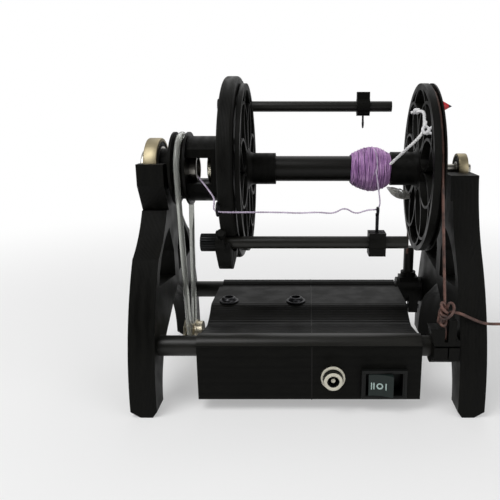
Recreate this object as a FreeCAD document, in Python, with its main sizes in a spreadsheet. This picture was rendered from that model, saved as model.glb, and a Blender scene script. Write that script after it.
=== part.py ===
import FreeCAD, Part
import math
import os
import re

import Sketcher

# Electric yarn spinner. X runs along the spindle from the orifice to the tail bearing, Y runs from
# the control side to the back, Z is up, and the feet stand on Z = 0 under the middle of the spindle.

Vector = FreeCAD.Vector

SIZES = [
    # side frames
    ("frame_span", 170.0, "over the outer faces of the two side frames"),
    ("frame_thickness", 12.8, "side frame, along the spindle"),
    ("foot_reach", 57.4, "half the depth of a side frame at the floor"),
    ("foot_edge", 3.0, "upright edge of a foot above the floor"),
    ("shoulder_reach", 36.8, "half the depth at the shoulder"),
    ("shoulder_drop", 40.2, "shoulder below the spindle"),
    ("flank_radius", 120.0, "bulge of the outer flank from foot to shoulder"),
    ("left_top_reach", 15.0, "half the depth of the left frame's flat top"),
    ("left_top_drop", 20.0, "flat top of the left frame below the spindle"),
    ("left_neck_radius", 55.0, "hollow between shoulder and flat top, left frame"),
    ("right_top_reach", 22.0, "half the depth of the right frame's flat top"),
    ("right_top_drop", 1.2, "flat top of the right frame below the spindle"),
    ("right_neck_drop", 3.5, "end of the hollow below the spindle, right frame"),
    ("right_neck_radius", 85.0, "hollow between shoulder and top, right frame"),
    ("saddle_extra", 1.2, "how much thicker the right frame is around its bearing"),
    ("saddle_reach", 24.3, "half the depth of that block at its lower edge"),
    ("saddle_drop", 13.5, "lower edge of that block below the spindle"),
    ("post_half", 4.3, "half the width of the post between the windows"),
    ("window_base_drop", 57.5, "lower corner of a window at the post, below the spindle"),
    ("window_corner_reach", 39.2, "outer corner of a window"),
    ("window_corner_drop", 53.5, "outer corner of a window below the spindle"),
    ("window_peak_reach", 12.0, "upper tip of a window"),
    ("window_peak_drop", 29.5, "upper tip of a window below the spindle"),
    ("window_post_drop", 43.5, "top of a window's upright side below the spindle"),
    ("window_radius", 41.0, "outer curve of a window"),
    ("arch_reach", 45.0, "half the opening between the feet at the floor"),
    ("arch_knee_reach", 30.5, "knee of that opening"),
    ("arch_knee_height", 32.6, "knee above the floor"),
    ("arch_peak_drop", 63.5, "top of that opening below the spindle"),
    ("arch_radius", 37.0, "curve from the foot to the knee"),
    ("sole_outer", 4.8, "bevel along the outer edge of a foot"),
    ("sole_inner", 2.2, "bevel along the inner edge of a foot"),
    ("sole_rise", 3.0, "height of both bevels"),
    # crossbars
    ("spindle_height", 113.5, "spindle axis above the floor"),
    ("bar_dia", 10.0, "crossbar"),
    ("bar_reach", 45.0, "crossbar axis in front of and behind the spindle"),
    ("bar_height", 32.0, "crossbar axis above the floor"),
    ("socket_depth", 8.0, "crossbar end inside a side frame"),
    ("blind_gap", 0.2, "socket past the end of its crossbar"),
    ("bar_clearance", 0.05, "gap all round a crossbar in what slides over it"),
    # main bearing and the saddle that holds it
    ("main_bearing_dia", 32.0, "outer ring of the main bearing"),
    ("main_bearing_bore", 20.0, "inner ring of the main bearing"),
    ("main_bearing_width", 7.0, "main bearing"),
    ("bearing_inset", 2.0, "main bearing from the left frame's outer face"),
    ("race_wall", 1.7, "thickness of a bearing ring"),
    ("shield_gap", 0.25, "gap between a bearing's shield and its inner ring"),
    ("shield_thickness", 0.9, "bearing shield"),
    ("seat_clearance", 0.05, "gap round a bearing in its saddle"),
    ("cradle_width", 13.5, "saddle along the spindle"),
    ("cradle_overhang", 0.1, "saddle past the frame's outer face"),
    ("cradle_base_reach", 13.0, "half the depth of the saddle where it stands on the frame"),
    ("cradle_reach", 20.5, "half the depth of the saddle's cheeks"),
    ("cradle_waist_drop", 6.5, "lower end of the upright cheeks below the spindle"),
    ("cradle_rise", 4.1, "tips of the cheeks above the spindle"),
    ("cradle_bore", 28.0, "open channel through the saddle"),
    ("peg_depth", 6.0, "peg of the saddle in the frame"),
    ("peg_width", 12.0, "peg across the frame"),
    ("peg_length", 6.8, "peg along the spindle"),
    ("peg_clearance", 0.1, "gap round the peg"),
    # tail bearing
    ("tail_bearing_dia", 16.0, "outer ring of the tail bearing"),
    ("tail_bearing_width", 5.0, "tail bearing"),
    ("tail_inset", 1.5, "tail bearing from the right frame's outer face"),
    ("tail_end_gap", 0.1, "gap at both ends of the tail bearing's seat"),
    ("tail_channel", 11.0, "open channel through the right frame"),
    ("tail_race_wall", 1.2, "thickness of a tail bearing ring"),
    ("spindle_dia", 5.0, "spindle"),
    ("spindle_overhang", 1.0, "spindle past the right frame's outer face"),
    # orifice, whorl and cage
    ("orifice_bore", 12.0, "hole that the yarn enters by"),
    ("orifice_wall", 1.5, "orifice tube"),
    ("orifice_lip_dia", 19.6, "lip of the orifice tube"),
    ("orifice_lip", 1.5, "thickness of that lip"),
    ("lip_round", 0.7, "rounding of that lip"),
    ("tube_chamfer", 0.5, "chamfer of the tube's far end"),
    ("orifice_tail", 3.7, "orifice tube past the whorl"),
    ("fit_gap", 0.05, "gap between pieces that are fixed inside each other"),
    ("press_gap", 0.02, "gap between pieces that are pressed onto each other"),
    ("axle_shoulder_dia", 21.0, "shoulder of the hollow axle"),
    ("axle_spigot_dia", 18.0, "end of the hollow axle inside the whorl"),
    ("spacer_length", 6.2, "shoulder of the hollow axle, along the spindle"),
    ("whorl_width", 8.4, "drive whorl"),
    ("whorl_dia", 38.2, "drive whorl over its rims"),
    ("whorl_groove_dia", 32.0, "drive whorl at the bottom of its groove"),
    ("whorl_groove_half", 3.0, "half the width of the groove at the rims"),
    ("whorl_floor_half", 1.4, "half the width of the groove at its bottom"),
    ("cage_length", 19.9, "cage between the whorl and the flyer plate"),
    ("cage_dia", 34.0, "cage"),
    ("cage_flat", 13.0, "flat front and back of the cage from the spindle"),
    ("window_half", 6.6, "half the height of the cage's yarn window"),
    ("window_length", 12.2, "yarn window along the spindle"),
    ("eyelet_length", 2.8, "metal ring at the end of the yarn window"),
    ("eyelet_bore", 11.0, "inside of that ring"),
    ("eyelet_flare", 0.8, "bevel at its mouth"),
    ("spindle_socket", 6.5, "spindle inside the cage"),
    # flyer
    ("plate_thickness", 7.5, "flyer plate"),
    ("plate_dia", 94.0, "flyer plate"),
    ("plate_round", 1.8, "rounding of the flyer plate's rim"),
    ("rod_dia", 6.0, "flyer rod"),
    ("rod_reach", 35.0, "flyer rod in front of or behind the spindle"),
    ("rod_rise", 32.0, "flyer rod above or below the spindle"),
    ("rod_end", 36.5, "right end of a flyer rod from the right frame's outer face"),
    ("knob_dia", 8.7, "knurled knob on a rod's left end"),
    ("knob_length", 7.5, "knurled knob"),
    ("knob_floor", 1.5, "closed end of the knob"),
    ("knob_gap", 0.2, "gap round a knob where it sinks into the balance lobe"),
    ("boss_dia", 11.6, "boss round a flyer rod"),
    ("boss_lead", 2.5, "boss past the plate's left face"),
    ("boss_length", 4.6, "boss round a flyer rod"),
    ("lobe_dia", 19.0, "balance lobe on the plate"),
    ("lobe_face_dia", 4.0, "flat end faces of the lobe"),
    ("lobe_bevel", 2.0, "slope from a face to the lobe's rim, along the spindle"),
    ("lobe_reach", 31.5, "balance lobe in front of or behind the spindle"),
    ("lobe_rise", 36.5, "balance lobe above or below the spindle"),
    ("lobe_lead", 3.5, "balance lobe past the plate's left face"),
    ("lobe_inset", 0.5, "balance lobe short of the plate's right face"),
    ("notch_dia", 9.0, "notch in the plate's rim round the bare rod"),
    ("set_screw_dia", 4.4, "set screw that holds a flyer rod"),
    ("set_screw_length", 2.4, "set screw outside its boss"),
    ("set_screw_place", 3.1, "set screw from the left end of its boss"),
    ("guide_ring", 2.9, "middle radius of the yarn guide's eye"),
    ("guide_wire", 0.55, "radius of the yarn guide's wire"),
    ("guide_drop", 13.2, "yarn guide below the spindle"),
    ("guide_root", 3.0, "stem of the yarn guide in the plate's rim"),
    # bobbin
    ("bobbin_gap", 0.8, "gap between flyer plate and bobbin"),
    ("bobbin_clearance", 21.1, "bobbin's right face from the right frame's outer face"),
    ("bobbin_bore_gap", 0.06, "running gap between spindle and bobbin"),
    ("flange_dia", 87.0, "both bobbin flanges"),
    ("left_flange_thickness", 2.2, "left bobbin flange"),
    ("right_flange_thickness", 6.0, "right bobbin flange"),
    ("left_rim", 2.6, "rim of the left flange, radially"),
    ("right_rim", 2.6, "rim of the right flange at its left face, radially"),
    ("rim_lip", 2.0, "thickness of that rim"),
    ("groove_rim", 4.8, "rim of the right flange behind it, radially"),
    ("groove_dia", 80.6, "bottom of the brake groove in the right flange"),
    ("groove_inset", 1.7, "middle of the brake groove from the right face"),
    ("groove_half", 0.95, "half the width of the brake groove"),
    ("lace_ring", 16.5, "middle radius of one ring of the lace"),
    ("lace_reach", 24.5, "middle of a lace ring from the spindle"),
    ("lace_rib", 1.3, "width of a lace rib"),
    ("hub_disc_dia", 38.0, "raised disc outside the right flange"),
    ("hub_disc_lift", 3.5, "height of that disc"),
    ("hub_disc_thickness", 2.2, "thickness of that disc"),
    ("tube_dia", 13.2, "bobbin tube"),
    ("tube_bore", 10.4, "bobbin tube, inside"),
    ("left_sleeve_dia", 16.4, "sleeve of the left flange"),
    ("left_sleeve_length", 14.2, "sleeve of the left flange"),
    ("right_sleeve_dia", 17.5, "sleeve of the right flange"),
    ("right_sleeve_length", 14.1, "sleeve of the right flange"),
    ("sleeve_flare", 2.5, "flare at the foot of a sleeve"),
    ("flare_radius", 3.0, "hollow of that flare"),
    ("cop_length", 21.7, "wound yarn"),
    ("cop_end_dia", 16.4, "wound yarn at its ends"),
    ("cop_bulge", 19.5, "radius of the wound yarn's bulge"),
    ("cop_gap", 0.1, "gap between the wound yarn and the right sleeve"),
    ("stop_dia", 4.2, "red cone that ends the leader cord"),
    ("stop_length", 4.0, "red cone"),
    ("stop_tip", 0.6, "diameter of the cone's tip"),
    ("stop_reach", 25.5, "red cone in front of the spindle"),
    ("stop_rise", 32.0, "red cone above the spindle"),
    # sliders
    ("slider_ring_dia", 10.4, "slider round its rod"),
    ("slider_gap", 0.03, "sliding gap round the rod"),
    ("slider_mouth", 3.6, "slot that lets the slider snap over its rod"),
    ("lower_slider_place", 33.5, "lower slider from the middle of the frames"),
    ("lower_slider_width", 8.1, "lower slider along its rod"),
    ("lower_slider_depth", 8.8, "lower slider from front to back"),
    ("lower_slider_top", 5.2, "top of the lower slider from its rod's axis"),
    ("lower_slider_foot", 6.0, "foot of the lower slider from its rod's axis"),
    ("lower_hook_reach", 15.4, "middle of the lower hook's eye from the rod's axis"),
    ("upper_slider_place", 32.1, "upper slider from the middle of the frames"),
    ("upper_slider_width", 7.3, "upper slider along its rod"),
    ("upper_slider_depth", 5.0, "tab of the upper slider from front to back"),
    ("upper_slider_top", 8.1, "tab of the upper slider from its rod's axis"),
    ("upper_hook_reach", 10.2, "middle of the upper hook's eye from the rod's axis"),
    ("hook_root", 1.8, "hook wire inside its slider"),
    ("hook_end_gap", 0.1, "gap at the end of the hook's hole"),
    ("hook_wire", 0.4, "radius of a hook's wire"),
    ("hook_eye", 1.7, "middle radius of a hook's eye"),
    ("eye_wire", 0.44, "radius of the wire at the eye, where it is hammered round"),
    # housings
    ("housing_left", 31.7, "housing's left end from the left frame's outer face"),
    ("housing_right", 29.9, "housing's right end from the right frame's outer face"),
    ("seam_place", 2.4, "seam between the housings from the middle of the frames"),
    ("housing_reach", 51.0, "housing's front and back faces"),
    ("housing_base", 6.4, "underside of the housing above the floor"),
    ("wall", 2.4, "housing wall"),
    ("tunnel_wall", 1.8, "material under a crossbar inside the housing"),
    ("sleeve_radius", 6.0, "housing round a crossbar"),
    ("sleeve_run", 4.6, "end of that round, inwards from the bar"),
    ("valley_place", -20.0, "lowest line of the lid"),
    ("valley_height", 32.5, "lowest line of the lid above the floor"),
    ("slope_place", -7.5, "foot of the ridge's rounded front edge"),
    ("slope_height", 37.3, "that foot above the floor"),
    ("slope_hollow", 30.0, "hollow between that foot and the lowest line"),
    ("ridge_front", -3.0, "front edge of the ridge"),
    ("ridge_back", 27.0, "back edge of the ridge"),
    ("ridge_height", 39.2, "ridge above the floor"),
    ("ridge_round", 8.0, "rounding of the ridge's front edge"),
    ("ridge_foot_place", 31.0, "back foot of the ridge"),
    ("ridge_foot_height", 35.5, "back foot of the ridge above the floor"),
    ("cover_thickness", 2.0, "base cover"),
    ("cover_gap", 0.15, "gap round the base cover"),
    ("post_reach", 42.0, "cover screw in front of and behind the spindle"),
    ("post_inset", 5.2, "cover screw from the housing's end face"),
    ("post_dia", 6.0, "post for a cover screw"),
    ("cover_screw_dia", 2.5, "cover screw"),
    ("cover_screw_head", 5.0, "head of a cover screw"),
    ("cover_screw_length", 9.0, "cover screw"),
    # motor
    ("motor_height", 21.0, "motor axis above the floor"),
    ("motor_dia", 24.4, "motor can"),
    ("motor_length", 38.0, "motor can"),
    ("endcap_length", 8.0, "rear cap of the motor"),
    ("endcap_inset", 0.6, "rear cap inside the can's outline"),
    ("endcap_step", 3.0, "step round the rear cap, along the shaft"),
    ("endcap_shoulder", 6.0, "that step, radially"),
    ("tag_reach", 9.0, "solder tag of the motor from its axis"),
    ("tag_width", 2.8, "solder tag of the motor"),
    ("tag_thickness", 0.6, "solder tag of the motor"),
    ("tag_root", 0.5, "tag inside the rear cap"),
    ("tag_length", 2.0, "tag past the rear cap"),
    ("motor_boss_dia", 7.0, "boss round the motor's shaft"),
    ("motor_boss_inset", 0.4, "boss short of the housing's end face"),
    ("shaft_dia", 3.0, "motor shaft"),
    ("shaft_gap", 0.05, "running gap round the motor shaft"),
    ("shaft_depth", 30.0, "motor shaft inside the can"),
    ("shaft_end_gap", 0.3, "gap behind the end of the shaft"),
    ("motor_screw_reach", 8.0, "motor screw from the motor axis"),
    ("motor_screw_dia", 3.0, "motor screw"),
    ("motor_screw_head", 5.4, "head of a motor screw"),
    ("motor_head_height", 2.0, "head of a motor screw"),
    ("motor_screw_grip", 3.1, "motor screw inside the can"),
    ("motor_hex", 2.5, "hexagon socket of a motor screw across its flats"),
    ("motor_hex_depth", 1.2, "that socket"),
    ("clamp_screw_dia", 5.0, "screw through the ridge above the motor"),
    ("clamp_screw_head", 9.5, "head of that screw"),
    ("clamp_screw_lift", 2.75, "height of that head"),
    ("clamp_screw_edge", 0.5, "straight edge of that head"),
    ("clamp_hex", 3.0, "hexagon socket of that screw across its flats"),
    ("clamp_hex_depth", 1.6, "that socket"),
    ("clamp_screw_first", 9.3, "first of those screws from the housing's left end"),
    ("clamp_screw_pitch", 37.5, "between the two screws"),
    # pulley and band
    ("pulley_dia", 14.0, "motor pulley over its rims"),
    ("pulley_groove_dia", 9.6, "motor pulley at the bottom of its groove"),
    ("pulley_hub_dia", 12.4, "hub of the motor pulley"),
    ("pulley_length", 10.0, "motor pulley"),
    ("pulley_lead", 3.7, "left end of the pulley from the band"),
    ("pulley_rim_half", 3.5, "outer side of the pulley's right rim from the band"),
    ("pulley_groove_half", 2.6, "half the width of its groove at the rims"),
    ("pulley_floor_half", 1.2, "half the width of its groove at the bottom"),
    ("band_radius", 1.5, "radius of the round drive band"),
    ("band_gap", 0.3, "gap between the band and its grooves"),
    # switch and jack
    ("jack_place", 10.0, "power jack from the seam"),
    ("jack_height", 17.8, "power jack above the floor"),
    ("jack_dia", 8.7, "barrel of the power jack"),
    ("jack_bore", 5.2, "socket of the power jack"),
    ("jack_socket_depth", 8.9, "socket of the power jack"),
    ("jack_pin", 2.1, "pin in the socket"),
    ("jack_pin_inset", 1.0, "pin behind the barrel's face"),
    ("jack_lead", 4.2, "barrel outside the housing"),
    ("jack_depth", 11.0, "barrel behind the housing's front face"),
    ("jack_nut_dia", 11.8, "ring nut of the power jack"),
    ("jack_nut_width", 2.2, "ring nut of the power jack"),
    ("switch_place", 47.9, "switch from the right frame's outer face"),
    ("switch_height", 15.0, "switch above the floor"),
    ("bezel_length", 22.0, "switch bezel"),
    ("bezel_rise", 15.0, "height of the switch bezel"),
    ("bezel_lift", 2.0, "switch bezel in front of the housing"),
    ("switch_length", 19.0, "switch case behind the bezel"),
    ("switch_rise", 12.9, "height of the switch case"),
    ("switch_depth", 15.0, "switch case behind the housing's front face"),
    ("switch_tag_reach", 6.0, "solder tag from the middle of the switch"),
    ("switch_tag_width", 4.8, "height of a solder tag"),
    ("switch_tag_thickness", 0.8, "solder tag of the switch"),
    ("switch_tag_length", 6.0, "solder tag behind the case"),
    ("rocker_length", 18.0, "opening for the rocker"),
    ("rocker_rise", 11.6, "height of that opening"),
    ("rocker_pit", 9.0, "depth of that opening behind the bezel's face"),
    ("paddle_length", 12.0, "rocker face"),
    ("paddle_rise", 11.0, "height of the rocker"),
    ("paddle_reach", 8.5, "rocker face in front of its pivot"),
    ("paddle_edge", 0.6, "edge of the rocker face behind its middle"),
    ("paddle_hollow", 16.8, "hollow of the rocker face"),
    ("paddle_taper", 1.6, "taper of the rocker to its back"),
    ("paddle_back", 1.0, "end of that taper in front of the pivot"),
    ("paddle_pivot", 4.0, "rocker pivot behind the housing's front face"),
    ("pivot_pin", 1.5, "diameter of the rocker's pivot pins"),
    ("pin_reach", 0.7, "pivot pin beyond the rocker"),
    ("pin_hole", 0.6, "hole for it in the case"),
    ("rocker_rest", 13.0, "tilt of the pressed rocker in degrees"),
    # brake
    ("clamp_left", 25.5, "brake clamp's left face from the right frame's outer face"),
    ("clamp_width", 12.0, "brake clamp"),
    ("clamp_ring_dia", 15.8, "brake clamp round its bar"),
    ("clamp_lug_front", 11.2, "front of the lugs from the bar's axis"),
    ("clamp_lug_back", 3.5, "back of the lugs from the bar's axis"),
    ("left_lug_rise", 13.0, "left lug above the bar's axis"),
    ("right_lug_rise", 17.0, "right lug above the bar's axis"),
    ("lug_overhang", 2.3, "top of the left lug past the clamp's left face"),
    ("right_lug_inset", 1.9, "right lug from the clamp's right face"),
    ("lug_slot_place", 4.6, "cord slot from the clamp's left face"),
    ("lug_slot", 1.7, "cord slot"),
    ("slot_floor", 2.0, "bottom of the cord slot above the slit"),
    ("jaw_drop", 2.8, "lower jaws below the bar's axis"),
    ("jaw_slit", 0.9, "slit of the clamp"),
    ("slit_rise", 4.4, "slit above the bar's axis"),
    ("jaw_rise", 2.5, "upper jaws above the slit"),
    ("jaw_split_place", 6.7, "split of the front from the clamp's left face"),
    ("jaw_split", 0.6, "that split"),
    ("jaw_split_depth", 3.0, "that split"),
    ("rear_clamp_left", 28.4, "rear clamp's left face from the right frame's outer face"),
    ("rear_clamp_width", 15.4, "rear clamp"),
    ("rear_lug_top", 12.0, "rear clamp's lug above the bar's axis"),
    ("rear_lug_foot", 13.0, "rear clamp's lug below the bar's axis"),
    ("rear_jaw", 5.6, "jaw of the rear clamp along its bar"),
    ("rear_jaw_gap", 1.8, "gap between those jaws"),
    ("rear_jaw_inset", 1.0, "back of those jaws from the bar's axis"),
    ("pinch_rise", 3.0, "pinch screw above the foot of the jaws"),
    ("anchor_dia", 6.3, "post behind the bobbin that holds the brake cord"),
    ("anchor_top", 60.0, "top of that post above the floor"),
    ("anchor_place", 7.4, "post from the rear clamp's left face"),
    ("anchor_depth", 5.0, "hole for the post"),
    ("collar_dia", 9.4, "collar at the foot of the post"),
    ("collar_rise", 3.0, "height of that collar"),
    ("collar_margin", 1.0, "rear clamp's lug past the collar"),
    ("clamp_screw_radius", 1.5, "radius of a clamp's pinch screw"),
    ("pinch_head_radius", 2.7, "radius of that screw's head"),
    ("pinch_head", 1.2, "that head"),
    ("brake_cord_dia", 1.4, "brake cord"),
    ("groove_gap", 0.3, "gap between the brake cord and the bottom of its groove"),
    ("post_gap", 0.2, "gap between the brake cord and its post"),
    ("cord_post_drop", 3.5, "end of the brake cord below the top of its post"),
    ("yarn_dia", 0.8, "spun yarn"),
    ("leader_dia", 1.6, "leader cord"),
    ("brake_knot_dia", 5.8, "knot in the brake cord"),
    ("knot_reach", 7.4, "knot in front of the crossbar's axis"),
    ("knot_shift", 0.8, "knot to the right of the groove"),
    ("knot_lift", 2.3, "middle of the knot above the right lug"),
]

doc = FreeCAD.newDocument("yarn_spinner")
dims = doc.addObject("Spreadsheet::Sheet", "dims")
for row, (name, size, note) in enumerate(SIZES, start=1):
    dims.set(f"A{row}", note)
    dims.set(f"B{row}", str(size))
    dims.setAlias(f"B{row}", name)
doc.recompute()
KNOWN = {name for name, size, note in SIZES}

# places along the spindle, left to right
LEFT = "(-frame_span / 2)"
RIGHT = "(frame_span / 2)"
LEFT_INNER = f"({LEFT} + frame_thickness)"
RIGHT_INNER = f"({RIGHT} - frame_thickness)"
BEARING_LEFT = f"({LEFT} + bearing_inset)"
BEARING_RIGHT = f"({BEARING_LEFT} + main_bearing_width)"
TUBE_LEFT = f"({LEFT} - spindle_overhang)"
WHORL_LEFT = f"({BEARING_RIGHT} + spacer_length)"
WHORL_RIGHT = f"({WHORL_LEFT} + whorl_width)"
BAND_PLACE = f"({WHORL_LEFT} + whorl_width / 2)"
CAGE_RIGHT = f"({WHORL_RIGHT} + cage_length)"
YARN_WINDOW_END = f"({WHORL_RIGHT} + window_length)"
PLATE_RIGHT = f"({CAGE_RIGHT} + plate_thickness)"
BOSS_LEFT = f"({CAGE_RIGHT} - boss_lead)"
BOSS_RIGHT = f"({BOSS_LEFT} + boss_length)"
BOBBIN_LEFT = f"({PLATE_RIGHT} + bobbin_gap)"
BOBBIN_RIGHT = f"({RIGHT} - bobbin_clearance)"
LEFT_FLANGE_RIGHT = f"({BOBBIN_LEFT} + left_flange_thickness)"
RIGHT_FLANGE_LEFT = f"({BOBBIN_RIGHT} - right_flange_thickness)"
RIGHT_SLEEVE_LEFT = f"({RIGHT_FLANGE_LEFT} - right_sleeve_length)"
TAIL_LEFT = f"({RIGHT} - tail_inset - tail_bearing_width)"
TAIL_RIGHT = f"({RIGHT} - tail_inset)"
HOUSING_LEFT = f"({LEFT} + housing_left)"
HOUSING_RIGHT = f"({RIGHT} - housing_right)"
MOTOR_LEFT = f"({HOUSING_LEFT} + wall)"
MOTOR_RIGHT = f"({MOTOR_LEFT} + motor_length)"
JACK_PLACE = "(seam_place + jack_place)"
SWITCH_PLACE = f"({RIGHT} - switch_place)"
PIVOT_PLACE = "(-housing_reach + paddle_pivot)"
CLAMP_LEFT = f"({RIGHT} - clamp_left)"
CLAMP_RIGHT = f"({CLAMP_LEFT} + clamp_width)"
REAR_LEFT = f"({RIGHT} - rear_clamp_left)"
REAR_RIGHT = f"({REAR_LEFT} + rear_clamp_width)"
# heights
LEFT_TOP = "(spindle_height - left_top_drop)"
COVER_TOP = "(housing_base + cover_thickness)"
CAVITY_REACH = "(housing_reach - wall)"
TUNNEL_REACH = "(bar_reach - bar_dia / 2 - wall)"
TUNNEL_TOP = "(bar_height - bar_dia / 2 - tunnel_wall)"
BAR_BORE = "(bar_dia / 2 + bar_clearance)"
BAND_WHORL_RADIUS = "(whorl_groove_dia / 2 + band_gap + band_radius)"
BAND_PULLEY_RADIUS = "(pulley_groove_dia / 2 + band_gap + band_radius)"
SPINDLE = "spindle_height"
KNOT_HEIGHT = "(bar_height + right_lug_rise + knot_lift)"


def bind(text):
    """A formula in the words of the sheet."""
    return re.sub(r"[a-z_]+", lambda word: f"dims.{word[0]}" if word[0] in KNOWN else word[0], text)


def value(text):
    """The number that a formula gives with the sheet as it stands."""
    return float(dims.evalExpression(bind(text)))


def spot(x, y, z):
    return Vector(value(x), value(y), value(z))


# ---- sketches and features -------------------------------------------------------------------

def new_body(label, height=None):
    """An empty body; with a height, its own X axis lies at that height above the floor."""
    body = doc.addObject("PartDesign::Body", label)
    body.Label = label
    if height:
        body.setExpression("Placement.Base.z", bind(height))
    return body


def new_sketch(body, role, offset):
    plane = next(item for item in body.Origin.OriginFeatures if item.Role == role)
    sketch = body.newObject("Sketcher::SketchObject", f"{body.Name}_sketch")
    sketch.AttachmentSupport = [(plane, "")]
    sketch.MapMode = "FlatFace"
    sketch.setExpression("AttachmentOffset.Base.z", bind(offset))
    return sketch


def hold(sketch, geometry, end, x, y):
    """Ties one point of a sketch to two formulas of the sheet."""
    for kind, text in (("DistanceX", x), ("DistanceY", y)):
        index = sketch.addConstraint(Sketcher.Constraint(kind, -1, 1, geometry, end, value(text)))
        sketch.setExpression(f"Constraints[{index}]", bind(text))


def hold_radius(sketch, geometry, radius):
    index = sketch.addConstraint(Sketcher.Constraint("Radius", geometry, value(radius)))
    sketch.setExpression(f"Constraints[{index}]", bind(radius))


def add_circle(sketch, x, y, radius):
    circle = Part.Circle(Vector(value(x), value(y), 0), Vector(0, 0, 1), value(radius))
    geometry = sketch.addGeometry(circle)
    hold(sketch, geometry, 3, x, y)
    hold_radius(sketch, geometry, radius)


def add_arc(sketch, start, end, radius, outward):
    """An arc from start to end; outward ones bulge to the right of the way from start to end."""
    chord = end - start
    half = chord.Length / 2
    rise = math.sqrt(max(radius * radius - half * half, 0.0))
    side = Vector(-chord.y, chord.x, 0).normalize() * (1 if outward else -1)
    centre = (start + end) / 2 + side * rise
    angle = [math.atan2(point.y - centre.y, point.x - centre.x) for point in (start, end)]
    first, last = (angle[0], angle[1]) if outward else (angle[1], angle[0])
    circle = Part.Circle(centre, Vector(0, 0, 1), radius)
    geometry = sketch.addGeometry(Part.ArcOfCircle(circle, first, last))
    return (geometry, 1, 2) if outward else (geometry, 2, 1)


def add_outline(sketch, corners):
    """A closed outline, anticlockwise. A corner is (x, y), with a radius and "out" or "in" where
    the side that leaves it is an arc that bulges out of the outline or into it."""
    points = [Vector(value(corner[0]), value(corner[1]), 0) for corner in corners]
    sides = []
    for index, corner in enumerate(corners):
        start = points[index]
        end = points[(index + 1) % len(points)]
        if len(corner) == 4:
            side = add_arc(sketch, start, end, value(corner[2]), corner[3] == "out")
        else:
            side = (sketch.addGeometry(Part.LineSegment(start, end)), 1, 2)
        sides.append(side)
    for index, corner in enumerate(corners):
        before = sides[index - 1]
        after = sides[index]
        hold(sketch, after[0], after[1], corner[0], corner[1])
        sketch.addConstraint(Sketcher.Constraint("Coincident", before[0], before[2], after[0], after[1]))
        if len(corner) == 4:
            hold_radius(sketch, after[0], corner[2])


def draw(sketch, shapes):
    """Shapes are circles, each a tuple of x, y and radius, and outlines, each a list of corners."""
    for shape in shapes:
        if isinstance(shape, tuple):
            add_circle(sketch, *shape)
        else:
            add_outline(sketch, shape)


def mirrored(corners):
    """The same outline on the other side of the sketch's upright axis, still anticlockwise."""
    order = reversed(range(len(corners)))
    return [(f"(-({corners[i][0]}))", corners[i][1]) + tuple(corners[i - 1][2:]) for i in order]


def both_sides(half):
    """A closed outline from its right half, listed upwards."""
    left = [corner for corner in mirrored(half) if corner[0] != "(-(0))"]
    return half + left


def block(x_from, x_to, y_from, y_to):
    """The corners of a rectangle."""
    return [(x_from, y_from), (x_to, y_from), (x_to, y_to), (x_from, y_to)]


# For each axis: the plane, the sign of its normal along that axis.
PLANES = {"X": ("YZ_Plane", 1), "Y": ("XZ_Plane", -1), "Z": ("XY_Plane", 1)}


def feature(body, kind, axis, start, stop, shapes):
    """A pad or pocket of flat shapes between two places along an axis."""
    role, sign = PLANES[axis]
    from_start = (kind == "Pad") == (sign == 1)
    offset = start if from_start else stop
    sketch = new_sketch(body, role, offset if sign == 1 else f"-({offset})")
    draw(sketch, shapes)
    result = body.newObject(f"PartDesign::{kind}", f"{body.Name}_{kind.lower()}")
    result.Profile = sketch
    result.setExpression("Length", bind(f"({stop}) - ({start})"))
    sketch.Visibility = False
    return result


def add(body, axis, start, stop, *shapes):
    return feature(body, "Pad", axis, start, stop, shapes)


def cut(body, axis, start, stop, *shapes):
    """Cuts flat shapes out of a body, and makes sure that something was cut."""
    doc.recompute()
    before = body.Shape.Volume
    result = feature(body, "Pocket", axis, start, stop, shapes)
    doc.recompute()
    if body.Shape.Volume > before - 1e-6:
        raise ValueError(f"{body.Label}: a cut from {start} to {stop} takes nothing away")
    return result


def revolve(body, axis, outlines, y="0", z="0"):
    """Turns outlines about the sketch's own axis, which lies through a point y, z of the body."""
    sketch = new_sketch(body, "XZ_Plane", f"-({y})")
    sketch.setExpression("AttachmentOffset.Base.y", bind(z))
    draw(sketch, outlines)
    result = body.newObject("PartDesign::Revolution", f"{body.Name}_turn")
    result.Profile = sketch
    result.ReferenceAxis = (sketch, [axis])
    result.Angle = 360
    sketch.Visibility = False


def turned(label, height, *outlines):
    """A body turned about an axis along X; its outlines are given as place and radius."""
    body = new_body(label, height)
    revolve(body, "H_Axis", outlines)
    return body


# ---- primitives --------------------------------------------------------------------------------

TURNS = {"X": FreeCAD.Rotation(Vector(0, 1, 0), 90), "Y": FreeCAD.Rotation(Vector(1, 0, 0), -90),
         "Z": FreeCAD.Rotation()}


def place(item, x, y, z, turn=None):
    if turn:
        item.Placement = FreeCAD.Placement(Vector(), turn)
    for axis, text in zip("xyz", (x, y, z)):
        item.setExpression(f"Placement.Base.{axis}", bind(text))
    return item


def round_bar(label, axis, radius, length, x, y, z, turn=None):
    """A cylinder that starts at a point and runs along an axis."""
    item = doc.addObject("Part::Cylinder", label)
    item.Label = label
    item.setExpression("Radius", bind(radius))
    item.setExpression("Height", bind(length))
    return place(item, x, y, z, turn or TURNS[axis])


def ring(label, middle, wire, x, y, z, turn):
    item = doc.addObject("Part::Torus", label)
    item.Label = label
    item.setExpression("Radius1", bind(middle))
    item.setExpression("Radius2", bind(wire))
    return place(item, x, y, z, turn)


def hexagon(label, axis, across, length, x, y, z):
    item = doc.addObject("Part::Prism", label)
    item.Polygon = 6
    item.setExpression("Circumradius", bind(f"({across}) / sqrt(3)"))
    item.setExpression("Height", bind(length))
    return place(item, x, y, z, TURNS[axis])


def joined(label, *items):
    result = doc.addObject("Part::MultiFuse", label)
    result.Label = label
    result.Shapes = list(items)
    return result


def less(label, base, tool):
    result = doc.addObject("Part::Cut", label)
    result.Label = label
    result.Base = base
    result.Tool = tool
    return result


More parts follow.
